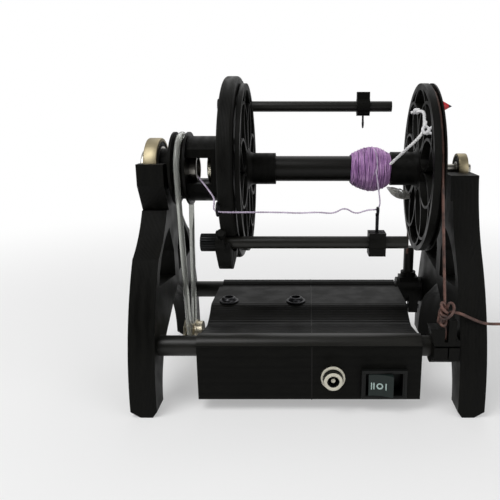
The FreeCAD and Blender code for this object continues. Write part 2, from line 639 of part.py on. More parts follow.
def group(label, items):
    """Identical pieces that share a name."""
    result = doc.addObject("Part::Compound", label)
    result.Label = label
    result.Links = list(items)
    return result


# ---- stand: side frames and crossbars ----------------------------------------------------------

def side_frame(label, start, stop, outer, side, top):
    """One side frame; top lists the corners above the shoulder."""
    shoulder = "spindle_height - shoulder_drop"
    body = new_body(label)
    add(body, "X", start, stop, both_sides([
        ("foot_reach", "0"),
        ("foot_reach", "foot_edge", "flank_radius", "out"),
        ("shoulder_reach", shoulder) + top[0],
        *top[1:],
    ]))
    window = [
        ("post_half", "spindle_height - window_base_drop"),
        ("window_corner_reach", "spindle_height - window_corner_drop", "window_radius", "out"),
        ("window_peak_reach", "spindle_height - window_peak_drop"),
        ("post_half", "spindle_height - window_post_drop"),
    ]
    cut(body, "X", f"{start} - 1", f"{stop} + 1", window, mirrored(window))
    cut(body, "X", f"{start} - 1", f"{stop} + 1", both_sides([
        ("arch_reach", "-1"),
        ("arch_reach", "foot_edge", "arch_radius", "out"),
        ("arch_knee_reach", "arch_knee_height"),
        ("0", "spindle_height - arch_peak_drop"),
    ]))
    inner = start if side > 0 else stop
    blind = f"{inner} + {side} * (socket_depth + blind_gap)"
    sockets = [(f"{y} * bar_reach", "bar_height", BAR_BORE) for y in (-1, 1)]
    cut(body, "X", min(inner, blind, key=value), max(inner, blind, key=value), *sockets)
    for edge, bevel in ((outer, f"{-side} * sole_outer"), (inner, f"{side} * sole_inner")):
        wedge = [(edge, "0"), (f"{edge} + {bevel}", "0"), (edge, "sole_rise")]
        if value(bevel) < 0:
            wedge = [wedge[1], wedge[0], wedge[2]]
        cut(body, "Y", "-foot_reach - 1", "foot_reach + 1", wedge)
    return body


def left_frame():
    top = [("left_neck_radius", "in"), ("left_top_reach", LEFT_TOP)]
    body = side_frame("left_frame", LEFT, LEFT_INNER, LEFT, -1, top)
    middle = f"({LEFT} + frame_thickness / 2)"
    half = "(peg_length / 2 + peg_clearance)"
    wide = "(peg_width / 2 + peg_clearance)"
    cut(body, "Z", f"{LEFT_TOP} - peg_depth - peg_clearance", LEFT_TOP,
        block(f"{middle} - {half}", f"{middle} + {half}", f"-{wide}", wide))
    return body


def right_frame():
    top = [("right_neck_radius", "in"),
           ("right_top_reach", "spindle_height - right_neck_drop"),
           ("right_top_reach", "spindle_height - right_top_drop")]
    body = side_frame("right_frame", RIGHT_INNER, RIGHT, RIGHT, 1, top)
    add(body, "X", f"{RIGHT_INNER} - saddle_extra", RIGHT_INNER, both_sides([
        ("saddle_reach", "spindle_height - saddle_drop"),
        ("right_top_reach", "spindle_height - right_neck_drop"),
        ("right_top_reach", "spindle_height - right_top_drop"),
    ]))
    cut(body, "X", f"{RIGHT_INNER} - saddle_extra - 1", f"{RIGHT} + 1", ("0", SPINDLE, "tail_channel / 2"))
    cut(body, "X", f"{TAIL_LEFT} - tail_end_gap", f"{TAIL_RIGHT} + tail_end_gap",
        ("0", SPINDLE, "tail_bearing_dia / 2 + seat_clearance"))
    return body


def left_cradle():
    """Saddle that holds the main bearing and stands on the left frame with a peg."""
    start = f"({LEFT} - cradle_overhang)"
    stop = f"({start} + cradle_width)"
    tip = "(spindle_height + cradle_rise)"
    body = new_body("left_cradle")
    add(body, "X", start, stop, both_sides([
        ("cradle_base_reach", LEFT_TOP),
        ("cradle_reach", "spindle_height - cradle_waist_drop"),
        ("cradle_reach", tip),
    ]))
    middle = f"({LEFT} + frame_thickness / 2)"
    add(body, "Z", f"{LEFT_TOP} - peg_depth", f"{LEFT_TOP} + 1",
        block(f"{middle} - peg_length / 2", f"{middle} + peg_length / 2", "-peg_width / 2", "peg_width / 2"))
    channel = "(cradle_bore / 2)"
    seat = "(main_bearing_dia / 2 + seat_clearance)"
    for first, last, radius in ((f"{start} - 1", f"{stop} + 1", channel),
                                (BEARING_LEFT, BEARING_RIGHT, seat)):
        cut(body, "X", first, last, ("0", SPINDLE, radius))
        cut(body, "X", first, last, block(f"-{radius}", radius, SPINDLE, f"{tip} + 1"))
    return body


def crossbar(label, side):
    return round_bar(label, "X", "bar_dia / 2", "frame_span - 2 * frame_thickness + 2 * socket_depth",
                     f"{LEFT_INNER} - socket_depth", f"{side} * bar_reach", "bar_height")


# ---- housings ----------------------------------------------------------------------------------

def housing_profile():
    """Outer profile of both housings: two round sleeves on the crossbars and a ridge between."""
    end = "(bar_reach - sleeve_run)"
    crown = "(bar_height + sqrt(sleeve_radius ^ 2 - sleeve_run ^ 2))"
    side = "(bar_reach + sleeve_radius)"
    return [
        (f"-{side}", "housing_base"), (side, "housing_base"), (side, "bar_height", "sleeve_radius", "out"),
        (end, crown), ("ridge_foot_place", "ridge_foot_height"), ("ridge_back", "ridge_height"),
        ("ridge_front", "ridge_height", "ridge_round", "out"),
        ("slope_place", "slope_height", "slope_hollow", "in"),
        ("valley_place", "valley_height"),
        (f"-{end}", crown, "sleeve_radius", "out"), (f"-{side}", "bar_height"),
    ]


def cavity_profile():
    """Inside of the housings: low under the crossbars, high under the ridge, open below."""
    lid = "(valley_height - wall)"
    ridge = "(ridge_height - wall)"
    front = "(slope_place - 2)"
    back = "(ridge_back - 1)"
    return [
        (f"-{CAVITY_REACH}", "housing_base - 1"), (CAVITY_REACH, "housing_base - 1"),
        (CAVITY_REACH, TUNNEL_TOP), (TUNNEL_REACH, TUNNEL_TOP), (TUNNEL_REACH, lid), (back, lid),
        (back, ridge), ("ridge_front", ridge), (front, lid), (f"-{TUNNEL_REACH}", lid),
        (f"-{TUNNEL_REACH}", TUNNEL_TOP), (f"-{CAVITY_REACH}", TUNNEL_TOP),
    ]


def housing(label, start, stop, hollow_from, hollow_to, post):
    body = new_body(label)
    add(body, "X", start, stop, housing_profile())
    bores = [(f"{side} * bar_reach", "bar_height", BAR_BORE) for side in (-1, 1)]
    cut(body, "X", f"{start} - 1", f"{stop} + 1", *bores)
    cut(body, "X", hollow_from, hollow_to, cavity_profile())
    posts = [(post, f"{side} * post_reach", "post_dia / 2") for side in (-1, 1)]
    add(body, "Z", COVER_TOP, f"{TUNNEL_TOP} + 0.5", *posts)
    holes = [(post, f"{side} * post_reach", "cover_screw_dia / 2") for side in (-1, 1)]
    cut(body, "Z", f"{COVER_TOP} - 1", f"{COVER_TOP} + cover_screw_length", *holes)
    return body


def motor_housing():
    body = housing("motor_housing", HOUSING_LEFT, "seam_place", MOTOR_LEFT, "seam_place",
                   f"{HOUSING_LEFT} + post_inset")
    boss = ("0", "motor_height", "motor_boss_dia / 2 + fit_gap")
    bore = "motor_screw_dia / 2 + fit_gap"
    bores = [(f"{side} * motor_screw_reach", "motor_height", bore) for side in (-1, 1)]
    cut(body, "X", f"{HOUSING_LEFT} - 1", f"{MOTOR_LEFT} + 1", boss, *bores)
    screws = [(clamp_screw_place(index), "0", "clamp_screw_dia / 2 + fit_gap") for index in range(2)]
    cut(body, "Z", "ridge_height - wall - 1", "ridge_height + 1", *screws)
    return body


def control_housing():
    body = housing("control_housing", "seam_place", HOUSING_RIGHT, "seam_place", f"{HOUSING_RIGHT} - wall",
                   f"{HOUSING_RIGHT} - post_inset")
    cut(body, "Y", "-housing_reach - 1", f"-{CAVITY_REACH} + 1",
        (JACK_PLACE, "jack_height", "jack_dia / 2 + fit_gap"))
    half = "(switch_length / 2 + fit_gap)"
    rise = "(switch_rise / 2 + fit_gap)"
    cut(body, "Y", "-housing_reach - 1", f"-{CAVITY_REACH} + 1",
        block(f"{SWITCH_PLACE} - {half}", f"{SWITCH_PLACE} + {half}",
              f"switch_height - {rise}", f"switch_height + {rise}"))
    return body


def cover_screw_places():
    ends = (f"({HOUSING_LEFT} + post_inset)", f"({HOUSING_RIGHT} - post_inset)")
    return [(x, f"{side} * post_reach") for x in ends for side in (-1, 1)]


def base_cover():
    body = new_body("base_cover")
    reach = f"({CAVITY_REACH} - cover_gap)"
    add(body, "Z", "housing_base", COVER_TOP,
        block(f"{MOTOR_LEFT} + cover_gap", f"{HOUSING_RIGHT} - wall - cover_gap", f"-{reach}", reach))
    cut(body, "Z", "housing_base - 1", f"{COVER_TOP} + 1",
        *[(x, y, "cover_screw_dia / 2 + fit_gap") for x, y in cover_screw_places()])
    cut(body, "Z", "housing_base - 1", "housing_base + cover_thickness / 2",
        *[(x, y, "cover_screw_head / 2 + fit_gap") for x, y in cover_screw_places()])
    return body


def cover_screws():
    screws = []
    for index, (x, y) in enumerate(cover_screw_places()):
        head = round_bar(f"cover_head_{index}", "Z", "cover_screw_head / 2", "cover_thickness / 2",
                         x, y, "housing_base")
        shank = round_bar(f"cover_shank_{index}", "Z", "cover_screw_dia / 2",
                          "cover_thickness / 2 + cover_screw_length", x, y, "housing_base")
        screws.append(joined(f"cover_screw_{index}", head, shank))
    return group("cover_screws", screws)


# ---- motor -------------------------------------------------------------------------------------

def clamp_screw_place(index):
    return f"({HOUSING_LEFT} + clamp_screw_first + {index} * clamp_screw_pitch)"


def motor_clamp_screws():
    """Button head screws through the ridge that press on the motor can."""
    screws = []
    for index in range(2):
        x = clamp_screw_place(index)
        depth = "(ridge_height - motor_height - motor_dia / 2)"
        head = button(f"clamp_head_{index}", x)
        shank = round_bar(f"clamp_shank_{index}", "Z", "clamp_screw_dia / 2", depth,
                          x, "0", "motor_height + motor_dia / 2")
        socket = hexagon(f"clamp_socket_{index}", "Z", "clamp_hex", "clamp_hex_depth + 1",
                         x, "0", "ridge_height + clamp_screw_lift - clamp_hex_depth")
        screws.append(less(f"clamp_screw_{index}", joined(f"clamp_solid_{index}", head, shank), socket))
    return group("motor_clamp_screws", screws)


def button(label, x):
    """Low domed screw head on the ridge."""
    body = new_body(label)
    revolve(body, "V_Axis", [[
        ("0", "0"), ("clamp_screw_head / 2", "0"),
        ("clamp_screw_head / 2", "clamp_screw_edge", "clamp_screw_head / 2", "out"),
        ("clamp_screw_head / 4", "clamp_screw_lift"), ("0", "clamp_screw_lift"),
    ]])
    return place(body, x, "0", "ridge_height")


def motor_can():
    boss = "(motor_boss_dia / 2)"
    bore = "(shaft_dia / 2 + shaft_gap)"
    face = f"({HOUSING_LEFT} + motor_boss_inset)"
    floor = f"({MOTOR_LEFT} + shaft_depth + shaft_end_gap)"
    body = turned("motor_can", "motor_height", [
        (face, bore), (floor, bore), (floor, "0"), (MOTOR_RIGHT, "0"), (MOTOR_RIGHT, "motor_dia / 2"),
        (MOTOR_LEFT, "motor_dia / 2"), (MOTOR_LEFT, boss), (face, boss),
    ])
    holes = [(f"{side} * motor_screw_reach", "0", "motor_screw_dia / 2 + fit_gap") for side in (-1, 1)]
    cut(body, "X", f"{MOTOR_LEFT} - 1", f"{MOTOR_LEFT} + motor_screw_grip + 1", *holes)
    return body


def motor_endcap():
    """Moulded rear cap with the two solder tags."""
    face = f"({MOTOR_RIGHT} + endcap_length)"
    step = f"({face} - endcap_step)"
    rim = "(motor_dia / 2 - endcap_inset)"
    core = "(motor_dia / 2 - endcap_shoulder)"
    body = turned("motor_endcap", "motor_height", [
        (MOTOR_RIGHT, "0"), (face, "0"), (face, core), (step, core), (step, rim), (MOTOR_RIGHT, rim),
    ])
    tags = [block(f"{side} * tag_reach - tag_width / 2", f"{side} * tag_reach + tag_width / 2",
                  "-tag_thickness / 2", "tag_thickness / 2") for side in (-1, 1)]
    add(body, "X", f"{step} - tag_root", f"{face} + tag_length", *tags)
    return body


def motor_screws():
    screws = []
    for index, side in enumerate((-1, 1)):
        y = f"{side} * motor_screw_reach"
        face = f"({HOUSING_LEFT} - motor_head_height)"
        head = round_bar(f"motor_head_{index}", "X", "motor_screw_head / 2", "motor_head_height",
                         face, y, "motor_height")
        shank = round_bar(f"motor_shank_{index}", "X", "motor_screw_dia / 2",
                          "motor_head_height + wall + motor_screw_grip", face, y, "motor_height")
        socket = hexagon(f"motor_socket_{index}", "X", "motor_hex", "motor_hex_depth + 1",
                         f"{face} - 1", y, "motor_height")
        screws.append(less(f"motor_screw_{index}", joined(f"motor_solid_{index}", head, shank), socket))
    return group("motor_screws", screws)


def motor_shaft():
    start = f"({BAND_PLACE} - pulley_lead)"
    return round_bar("motor_shaft", "X", "shaft_dia / 2", f"{MOTOR_LEFT} + shaft_depth - {start}",
                     start, "0", "motor_height")


def motor_pulley():
    start = f"({BAND_PLACE} - pulley_lead)"
    rim = "(pulley_dia / 2)"
    hub = "(pulley_hub_dia / 2)"
    floor = "(pulley_groove_dia / 2)"
    bore = "(shaft_dia / 2 + press_gap)"
    return turned("motor_pulley", "motor_height", [
        (start, bore), (f"{start} + pulley_length", bore), (f"{start} + pulley_length", hub),
        (f"{BAND_PLACE} + pulley_rim_half", hub), (f"{BAND_PLACE} + pulley_rim_half", rim),
        (f"{BAND_PLACE} + pulley_groove_half", rim), (f"{BAND_PLACE} + pulley_floor_half", floor),
        (f"{BAND_PLACE} - pulley_floor_half", floor), (f"{BAND_PLACE} - pulley_groove_half", rim),
        (start, rim),
    ])


def drive_band():
    """Round belt: two straight runs between the whorl and the pulley, and the arcs round them."""
    high = spot(BAND_PLACE, "0", SPINDLE)
    low = spot(BAND_PLACE, "0", "motor_height")
    large = value(BAND_WHORL_RADIUS)
    small = value(BAND_PULLEY_RADIUS)
    lean = math.asin((large - small) / (high.z - low.z))

    def on(centre, radius, angle):
        return centre + Vector(0, radius * math.cos(angle), radius * math.sin(angle))

    back = (on(high, large, -lean), on(low, small, -lean))
    front = (on(high, large, math.pi + lean), on(low, small, math.pi + lean))
    edges = [
        Part.Arc(back[0], on(high, large, math.pi / 2), front[0]).toShape(),
        Part.LineSegment(*front).toShape(),
        Part.Arc(front[1], on(low, small, -math.pi / 2), back[1]).toShape(),
        Part.LineSegment(back[1], back[0]).toShape(),
    ]
    return pipe("drive_band", edges, value("band_radius"))


# ---- jack and switch ---------------------------------------------------------------------------

def dc_jack_body():
    barrel = round_bar("jack_barrel", "Y", "jack_dia / 2", "jack_lead + jack_depth",
                       JACK_PLACE, "-housing_reach - jack_lead", "jack_height")
    socket = round_bar("jack_socket", "Y", "jack_bore / 2", "jack_socket_depth + 1",
                       JACK_PLACE, "-housing_reach - jack_lead - 1", "jack_height")
    return less("dc_jack_body", barrel, socket)


def dc_jack_nut():
    outer = round_bar("jack_nut_solid", "Y", "jack_nut_dia / 2", "jack_nut_width",
                      JACK_PLACE, "-housing_reach - jack_nut_width", "jack_height")
    inner = round_bar("jack_nut_hole", "Y", "jack_dia / 2 + fit_gap", "jack_nut_width + 2",
                      JACK_PLACE, "-housing_reach - jack_nut_width - 1", "jack_height")
    return less("dc_jack_nut", outer, inner)


def dc_jack_pin():
    return round_bar("dc_jack_pin", "Y", "jack_pin / 2", "jack_socket_depth - jack_pin_inset",
                     JACK_PLACE, "-housing_reach - jack_lead + jack_pin_inset", "jack_height")


def switch_case():
    """Snap-in case with its bezel, open in front for the rocker."""
    body = new_body("switch_case")
    half = "(bezel_length / 2)"
    rise = "(bezel_rise / 2)"
    face = "(-housing_reach - bezel_lift)"
    add(body, "Y", face, "-housing_reach",
        block(f"{SWITCH_PLACE} - {half}", f"{SWITCH_PLACE} + {half}",
              f"switch_height - {rise}", f"switch_height + {rise}"))
    add(body, "Y", "-housing_reach", "-housing_reach + switch_depth",
        block(f"{SWITCH_PLACE} - switch_length / 2", f"{SWITCH_PLACE} + switch_length / 2",
              "switch_height - switch_rise / 2", "switch_height + switch_rise / 2"))
    cut(body, "Y", f"{face} - 1", f"{face} + rocker_pit",
        block(f"{SWITCH_PLACE} - rocker_length / 2", f"{SWITCH_PLACE} + rocker_length / 2",
              "switch_height - rocker_rise / 2", "switch_height + rocker_rise / 2"))
    hole = "(rocker_rise / 2 + pin_hole)"
    cut(body, "Z", f"switch_height - {hole}", f"switch_height + {hole}",
        (SWITCH_PLACE, PIVOT_PLACE, "pivot_pin / 2 + shaft_gap"))
    back = "(-housing_reach + switch_depth)"
    for side in (-1, 1):
        tag = f"({SWITCH_PLACE} + {side} * switch_tag_reach)"
        add(body, "Y", back, f"{back} + switch_tag_length",
            block(f"{tag} - switch_tag_thickness / 2", f"{tag} + switch_tag_thickness / 2",
                  "switch_height - switch_tag_width / 2", "switch_height + switch_tag_width / 2"))
    return body


def switch_rocker():
    """Rocker on two pivot pins, drawn pressed in on its left side."""
    half = "(paddle_length / 2)"
    edge = "(paddle_edge - paddle_reach)"
    body = new_body("switch_rocker")
    add(body, "Z", "-paddle_rise / 2", "paddle_rise / 2", [
        (f"-{half}", edge, "paddle_hollow", "in"), (half, edge),
        (f"{half} - paddle_taper", "-paddle_back"), ("pivot_pin", "pivot_pin"), ("-pivot_pin", "pivot_pin"),
        (f"paddle_taper - {half}", "-paddle_back"),
    ])
    add(body, "Z", "-paddle_rise / 2 - pin_reach", "paddle_rise / 2 + pin_reach", ("0", "0", "pivot_pin / 2"))
    turn = FreeCAD.Rotation(Vector(0, 0, 1), -value("rocker_rest"))
    return place(body, SWITCH_PLACE, PIVOT_PLACE, "switch_height", turn)


# ---- bearings ----------------------------------------------------------------------------------

def bearing_outer(label, start, width, diameter, bore, wall):
    """Outer ring with the two shields that close the ball race."""
    shield = f"({bore} / 2 + {wall} + shield_gap)"
    race = f"({diameter} / 2 - {wall})"
    stop = f"({start} + {width})"
    return turned(label, SPINDLE, [
        (start, shield), (f"{start} + shield_thickness", shield), (f"{start} + shield_thickness", race),
        (f"{stop} - shield_thickness", race), (f"{stop} - shield_thickness", shield), (stop, shield),
        (stop, f"{diameter} / 2"), (start, f"{diameter} / 2"),
    ])


def bearing_inner(label, start, width, bore, wall):
    return turned(label, SPINDLE, block(start, f"{start} + {width}", f"{bore} / 2", f"{bore} / 2 + {wall}"))


# ---- flyer -------------------------------------------------------------------------------------

def hollow_axle():
    inner = "(orifice_bore / 2 + orifice_wall + fit_gap)"
    start = f"({TUBE_LEFT} + orifice_lip)"
    seat = "(main_bearing_bore / 2 - press_gap)"
    return turned("hollow_axle", SPINDLE, [
        (start, inner), (WHORL_RIGHT, inner), (WHORL_RIGHT, "axle_spigot_dia / 2"),
        (WHORL_LEFT, "axle_spigot_dia / 2"), (WHORL_LEFT, "axle_shoulder_dia / 2"),
        (BEARING_RIGHT, "axle_shoulder_dia / 2"), (BEARING_RIGHT, seat), (start, seat),
    ])


def orifice_tube():
    inner = "(orifice_bore / 2)"
    outer = "(orifice_bore / 2 + orifice_wall)"
    lip = f"({TUBE_LEFT} + orifice_lip)"
    tail = f"({WHORL_RIGHT} + orifice_tail)"
    return turned("orifice_tube", SPINDLE, [
        (f"{TUBE_LEFT} + lip_round", inner), (tail, inner),
        (tail, f"{outer} - tube_chamfer"), (f"{tail} - tube_chamfer", outer),
        (lip, outer), (lip, "orifice_lip_dia / 2"),
        (f"{TUBE_LEFT} + lip_round", "orifice_lip_dia / 2", "lip_round", "out"),
        (TUBE_LEFT, "orifice_lip_dia / 2 - lip_round"),
        (TUBE_LEFT, f"{inner} + lip_round", "lip_round", "out"),
    ])


def drive_whorl():
    bore = "(axle_spigot_dia / 2 + fit_gap)"
    rim = "(whorl_dia / 2)"
    floor = "(whorl_groove_dia / 2)"
    return turned("drive_whorl", SPINDLE, [
        (WHORL_LEFT, bore), (WHORL_RIGHT, bore), (WHORL_RIGHT, rim),
        (f"{BAND_PLACE} + whorl_groove_half", rim),
        (f"{BAND_PLACE} + whorl_floor_half", floor), (f"{BAND_PLACE} - whorl_floor_half", floor),
        (f"{BAND_PLACE} - whorl_groove_half", rim), (WHORL_LEFT, rim),
    ])


def flyer_cage():
    """Block between whorl and plate with a window through which the yarn leaves the orifice."""
    body = new_body("flyer_cage", SPINDLE)
    edge = "(sqrt(cage_dia ^ 2 / 4 - cage_flat ^ 2))"
    add(body, "X", WHORL_RIGHT, CAGE_RIGHT, [
        ("cage_flat", f"-{edge}"), ("cage_flat", edge, "cage_dia / 2", "out"),
        ("-cage_flat", edge), ("-cage_flat", f"-{edge}", "cage_dia / 2", "out"),
    ])
    cut(body, "X", f"{WHORL_RIGHT} - 1", YARN_WINDOW_END,
        ("0", "0", "orifice_bore / 2 + orifice_wall + fit_gap"))
    cut(body, "Y", "-cage_dia", "cage_dia",
        block(f"{WHORL_RIGHT} - 1", YARN_WINDOW_END, "-window_half", "window_half"))
    cut(body, "X", f"{CAGE_RIGHT} - spindle_socket", f"{CAGE_RIGHT} + 1",
        ("0", "0", "spindle_dia / 2 + press_gap"))
    return body


def cage_eyelet():
    start = f"({YARN_WINDOW_END} - eyelet_length)"
    inner = "(eyelet_bore / 2)"
    outer = "(orifice_bore / 2 + orifice_wall)"
    return turned("cage_eyelet", SPINDLE, [
        (start, f"{inner} + eyelet_flare"), (f"{start} + eyelet_flare", inner),
        (YARN_WINDOW_END, inner), (YARN_WINDOW_END, outer),
        (f"{start} + eyelet_flare / 2", outer), (start, f"{outer} - eyelet_flare / 2"),
    ])


ROD_SIDES = {"upper": 1, "lower": -1}
GUIDE_PLACE = f"({CAGE_RIGHT} + plate_round / 2)"
GUIDE_REACH = "(plate_dia / 2 + guide_ring + 2 * guide_wire)"


def guide_angle():
    """Turn about X from upright to the direction in which the yarn guide stands out of the rim."""
    return 90 + math.degrees(math.asin(value("guide_drop") / value(GUIDE_REACH)))


def guide_spot(reach):
    """Y and Z of a point at some distance from the spindle, in the yarn guide's direction."""
    share = value("guide_drop") / value(GUIDE_REACH)
    return f"-({reach}) * {math.sqrt(1 - share ** 2):.6f}", f"spindle_height - ({reach}) * {share:.6f}"


def set_screw(label, side, gap):
    """A cylinder on a rod's boss, with some gap all round where it serves as a tool."""
    reach = value("sqrt(rod_reach ^ 2 + rod_rise ^ 2)")
    share = value("rod_rise") / reach
    fall = value("rod_reach") / reach
    y, z = rod_place(side)
    lean = math.degrees(math.asin(share))
    turn = FreeCAD.Rotation(Vector(1, 0, 0), 180 + lean if side > 0 else lean)
    return round_bar(label, "Z", f"set_screw_dia / 2 + {gap}", "set_screw_length",
                     f"{BOSS_LEFT} + set_screw_place", f"{y} + {side} * boss_dia / 2 * {share:.6f}",
                     f"{z} - {side} * boss_dia / 2 * {fall:.6f}", turn)


def flyer_plate():
    """Round plate with a boss for each rod, a rim notch round the bare rod and a balance lobe."""
    rim = "(plate_dia / 2)"
    bore = "(spindle_dia / 2 + press_gap)"
    body = turned("plate_solid", SPINDLE, [
        (CAGE_RIGHT, bore), (PLATE_RIGHT, bore),
        (PLATE_RIGHT, f"{rim} - plate_round", "plate_round", "out"), (f"{PLATE_RIGHT} - plate_round", rim),
        (f"{CAGE_RIGHT} + plate_round", rim, "plate_round", "out"), (CAGE_RIGHT, f"{rim} - plate_round"),
    ])
    lobe_left = f"({CAGE_RIGHT} - lobe_lead)"
    lobe_right = f"({PLATE_RIGHT} - lobe_inset)"
    lobe = [
        (lobe_left, "0"), (lobe_right, "0"), (lobe_right, "lobe_face_dia / 2"),
        (f"{lobe_right} - lobe_bevel", "lobe_dia / 2"), (f"{lobe_left} + lobe_bevel", "lobe_dia / 2"),
        (lobe_left, "lobe_face_dia / 2"),
    ]
    rods = [(f"{side} * rod_reach", f"{side} * rod_rise") for side in ROD_SIDES.values()]
    for side in ROD_SIDES.values():
        revolve(body, "H_Axis", [lobe], f"{side} * lobe_reach", f"{side} * lobe_rise")
    add(body, "X", BOSS_LEFT, BOSS_RIGHT, *[(*rod, "boss_dia / 2") for rod in rods])
    for start, stop, radius in ((BOSS_RIGHT, f"{PLATE_RIGHT} + 1", "notch_dia / 2"),
                                (f"{lobe_left} - 1", f"{PLATE_RIGHT} + 1", "rod_dia / 2 + fit_gap"),
                                (f"{lobe_left} - 1", BOSS_LEFT, "knob_dia / 2 + knob_gap")):
        cut(body, "X", start, stop, *[(*rod, radius) for rod in rods])
    angle = FreeCAD.Rotation(Vector(1, 0, 0), guide_angle())
    y, z = guide_spot("plate_dia / 2 - guide_root")
    hole = round_bar("guide_hole", "Z", "guide_wire + fit_gap", "guide_root + 1", GUIDE_PLACE, y, z, angle)
    seats = [set_screw(f"screw_seat_{name}", side, "fit_gap") for name, side in ROD_SIDES.items()]
    return less("flyer_plate", body, joined("plate_holes", hole, *seats))


def rod_place(side):
    return f"{side} * rod_reach", f"spindle_height + {side} * rod_rise"


def flyer_rod(label, side):
    y, z = rod_place(side)
    start = f"({BOSS_LEFT} - knob_length + knob_floor)"
    return round_bar(label, "X", "rod_dia / 2", f"{RIGHT} - rod_end - {start}", start, y, z)


def rod_knobs():
    knobs = []
    for name, side in ROD_SIDES.items():
        y, z = rod_place(side)
        start = f"({BOSS_LEFT} - knob_length)"
        outer = round_bar(f"knob_solid_{name}", "X", "knob_dia / 2", "knob_length", start, y, z)
        inner = round_bar(f"knob_hole_{name}", "X", "rod_dia / 2 + fit_gap", "knob_length",
                          f"{start} + knob_floor", y, z)
        knobs.append(less(f"knob_{name}", outer, inner))
    return group("rod_knobs", knobs)


def rod_set_screws():
    """One screw in each boss, tangent to the plate's rim, that stops the rod."""
    screws = [set_screw(f"set_screw_{name}", side, "0") for name, side in ROD_SIDES.items()]
    return group("rod_set_screws", screws)


def spindle():
    start = f"({CAGE_RIGHT} - spindle_socket)"
    return round_bar("spindle", "X", "spindle_dia / 2", f"{RIGHT} + spindle_overhang - {start}",
                     start, "0", SPINDLE)


def yarn_guide():
    """Wire eye that stands on the plate's rim, with its stem in a hole there."""
    turn = FreeCAD.Rotation(Vector(1, 0, 0), guide_angle())
    y, z = guide_spot(GUIDE_REACH)
    eye = ring("guide_eye", "guide_ring", "guide_wire * 1.1", GUIDE_PLACE, y, z, TURNS["X"])
    stem = round_bar("guide_stem", "Z", "guide_wire", "guide_root + 2 * guide_wire",
                     GUIDE_PLACE, *guide_spot("plate_dia / 2 - guide_root"), turn)
    return joined("yarn_guide", eye, stem)


# ---- sliders -----------------------------------------------------------------------------------

def slider(label, side, block_depth, top, foot):
    """Clip that snaps over a flyer rod; its wire hook points at the spindle."""
    y, z = rod_place(side)
    half = f"({label}_width / 2)"
    body = new_body(label)
    add(body, "X", f"-{half}", half, ("0", "0", "slider_ring_dia / 2"))
    add(body, "X", f"-{half}", half, block(f"-{block_depth} / 2", f"{block_depth} / 2", f"-({foot})", top))
    cut(body, "X", f"-{half} - 1", f"{half} + 1", ("0", "0", "rod_dia / 2 + slider_gap"))
    cut(body, "X", f"-{half} - 1", f"{half} + 1",
        block("0", "slider_ring_dia", "-slider_mouth / 2", "slider_mouth / 2"))
    face = top if side < 0 else f"-({foot})"
    inside = f"({face} + {side} * (hook_root + hook_end_gap))"
    cut(body, "Z", min(face, inside, key=value), max(face, inside, key=value),
        ("0", "0", "hook_wire + press_gap"))
    return place(body, f"{label}_place", y, z)


def hook(label, side, face):
    """Wire that stands in a slider and ends in an eye for the yarn."""
    y, z = rod_place(side)
    x = f"{label.replace('hook', 'slider')}_place"
    turn = TURNS["Z"] if side < 0 else FreeCAD.Rotation(Vector(1, 0, 0), 180)
    stem = round_bar(f"{label}_stem", "Z", "hook_wire", f"{label}_reach - hook_eye - {face} + hook_root",
                     x, y, f"{z} - {side} * ({face} - hook_root)", turn)
    eye = ring(f"{label}_eye", "hook_eye", "eye_wire", x, y, f"{z} - {side} * {label}_reach", TURNS["X"])
    return joined(label, stem, eye)


# ---- bobbin ------------------------------------------------------------------------------------

LACE_COUNT = 8


def lace(body, start, stop):
    """Ring of overlapping circles round the hub, patterned about the spindle."""
    outer = ("0", "lace_reach", "lace_ring + lace_rib / 2")
    inner = ("0", "lace_reach", "lace_ring - lace_rib / 2")
    rib = feature(body, "Pad", "X", start, stop, [outer, inner])
    doc.recompute()
    pattern = body.newObject("PartDesign::PolarPattern", f"{body.Name}_lace")
    pattern.Originals = [rib]
    axis = next(item for item in body.Origin.OriginFeatures if item.Role == "X_Axis")
    pattern.Axis = (axis, [""])
    pattern.Angle = 360
    pattern.Occurrences = LACE_COUNT
    body.Tip = pattern
    doc.recompute()


def left_flange():
    bore = "(spindle_dia / 2 + bobbin_bore_gap)"
    tube = "(tube_dia / 2 + fit_gap)"
    sleeve = "(left_sleeve_dia / 2)"
    end = f"({LEFT_FLANGE_RIGHT} + left_sleeve_length)"
    body = turned("left_flange", SPINDLE, [
        (BOBBIN_LEFT, bore), (LEFT_FLANGE_RIGHT, bore), (LEFT_FLANGE_RIGHT, tube), (end, tube),
        (end, sleeve), (f"{LEFT_FLANGE_RIGHT} + sleeve_flare", sleeve, "flare_radius", "in"),
        (LEFT_FLANGE_RIGHT, f"{sleeve} + sleeve_flare"), (BOBBIN_LEFT, f"{sleeve} + sleeve_flare"),
    ])
    lace(body, BOBBIN_LEFT, LEFT_FLANGE_RIGHT)
    add(body, "X", BOBBIN_LEFT, LEFT_FLANGE_RIGHT,
        ("0", "0", "flange_dia / 2"), ("0", "0", "flange_dia / 2 - left_rim"))
    return body


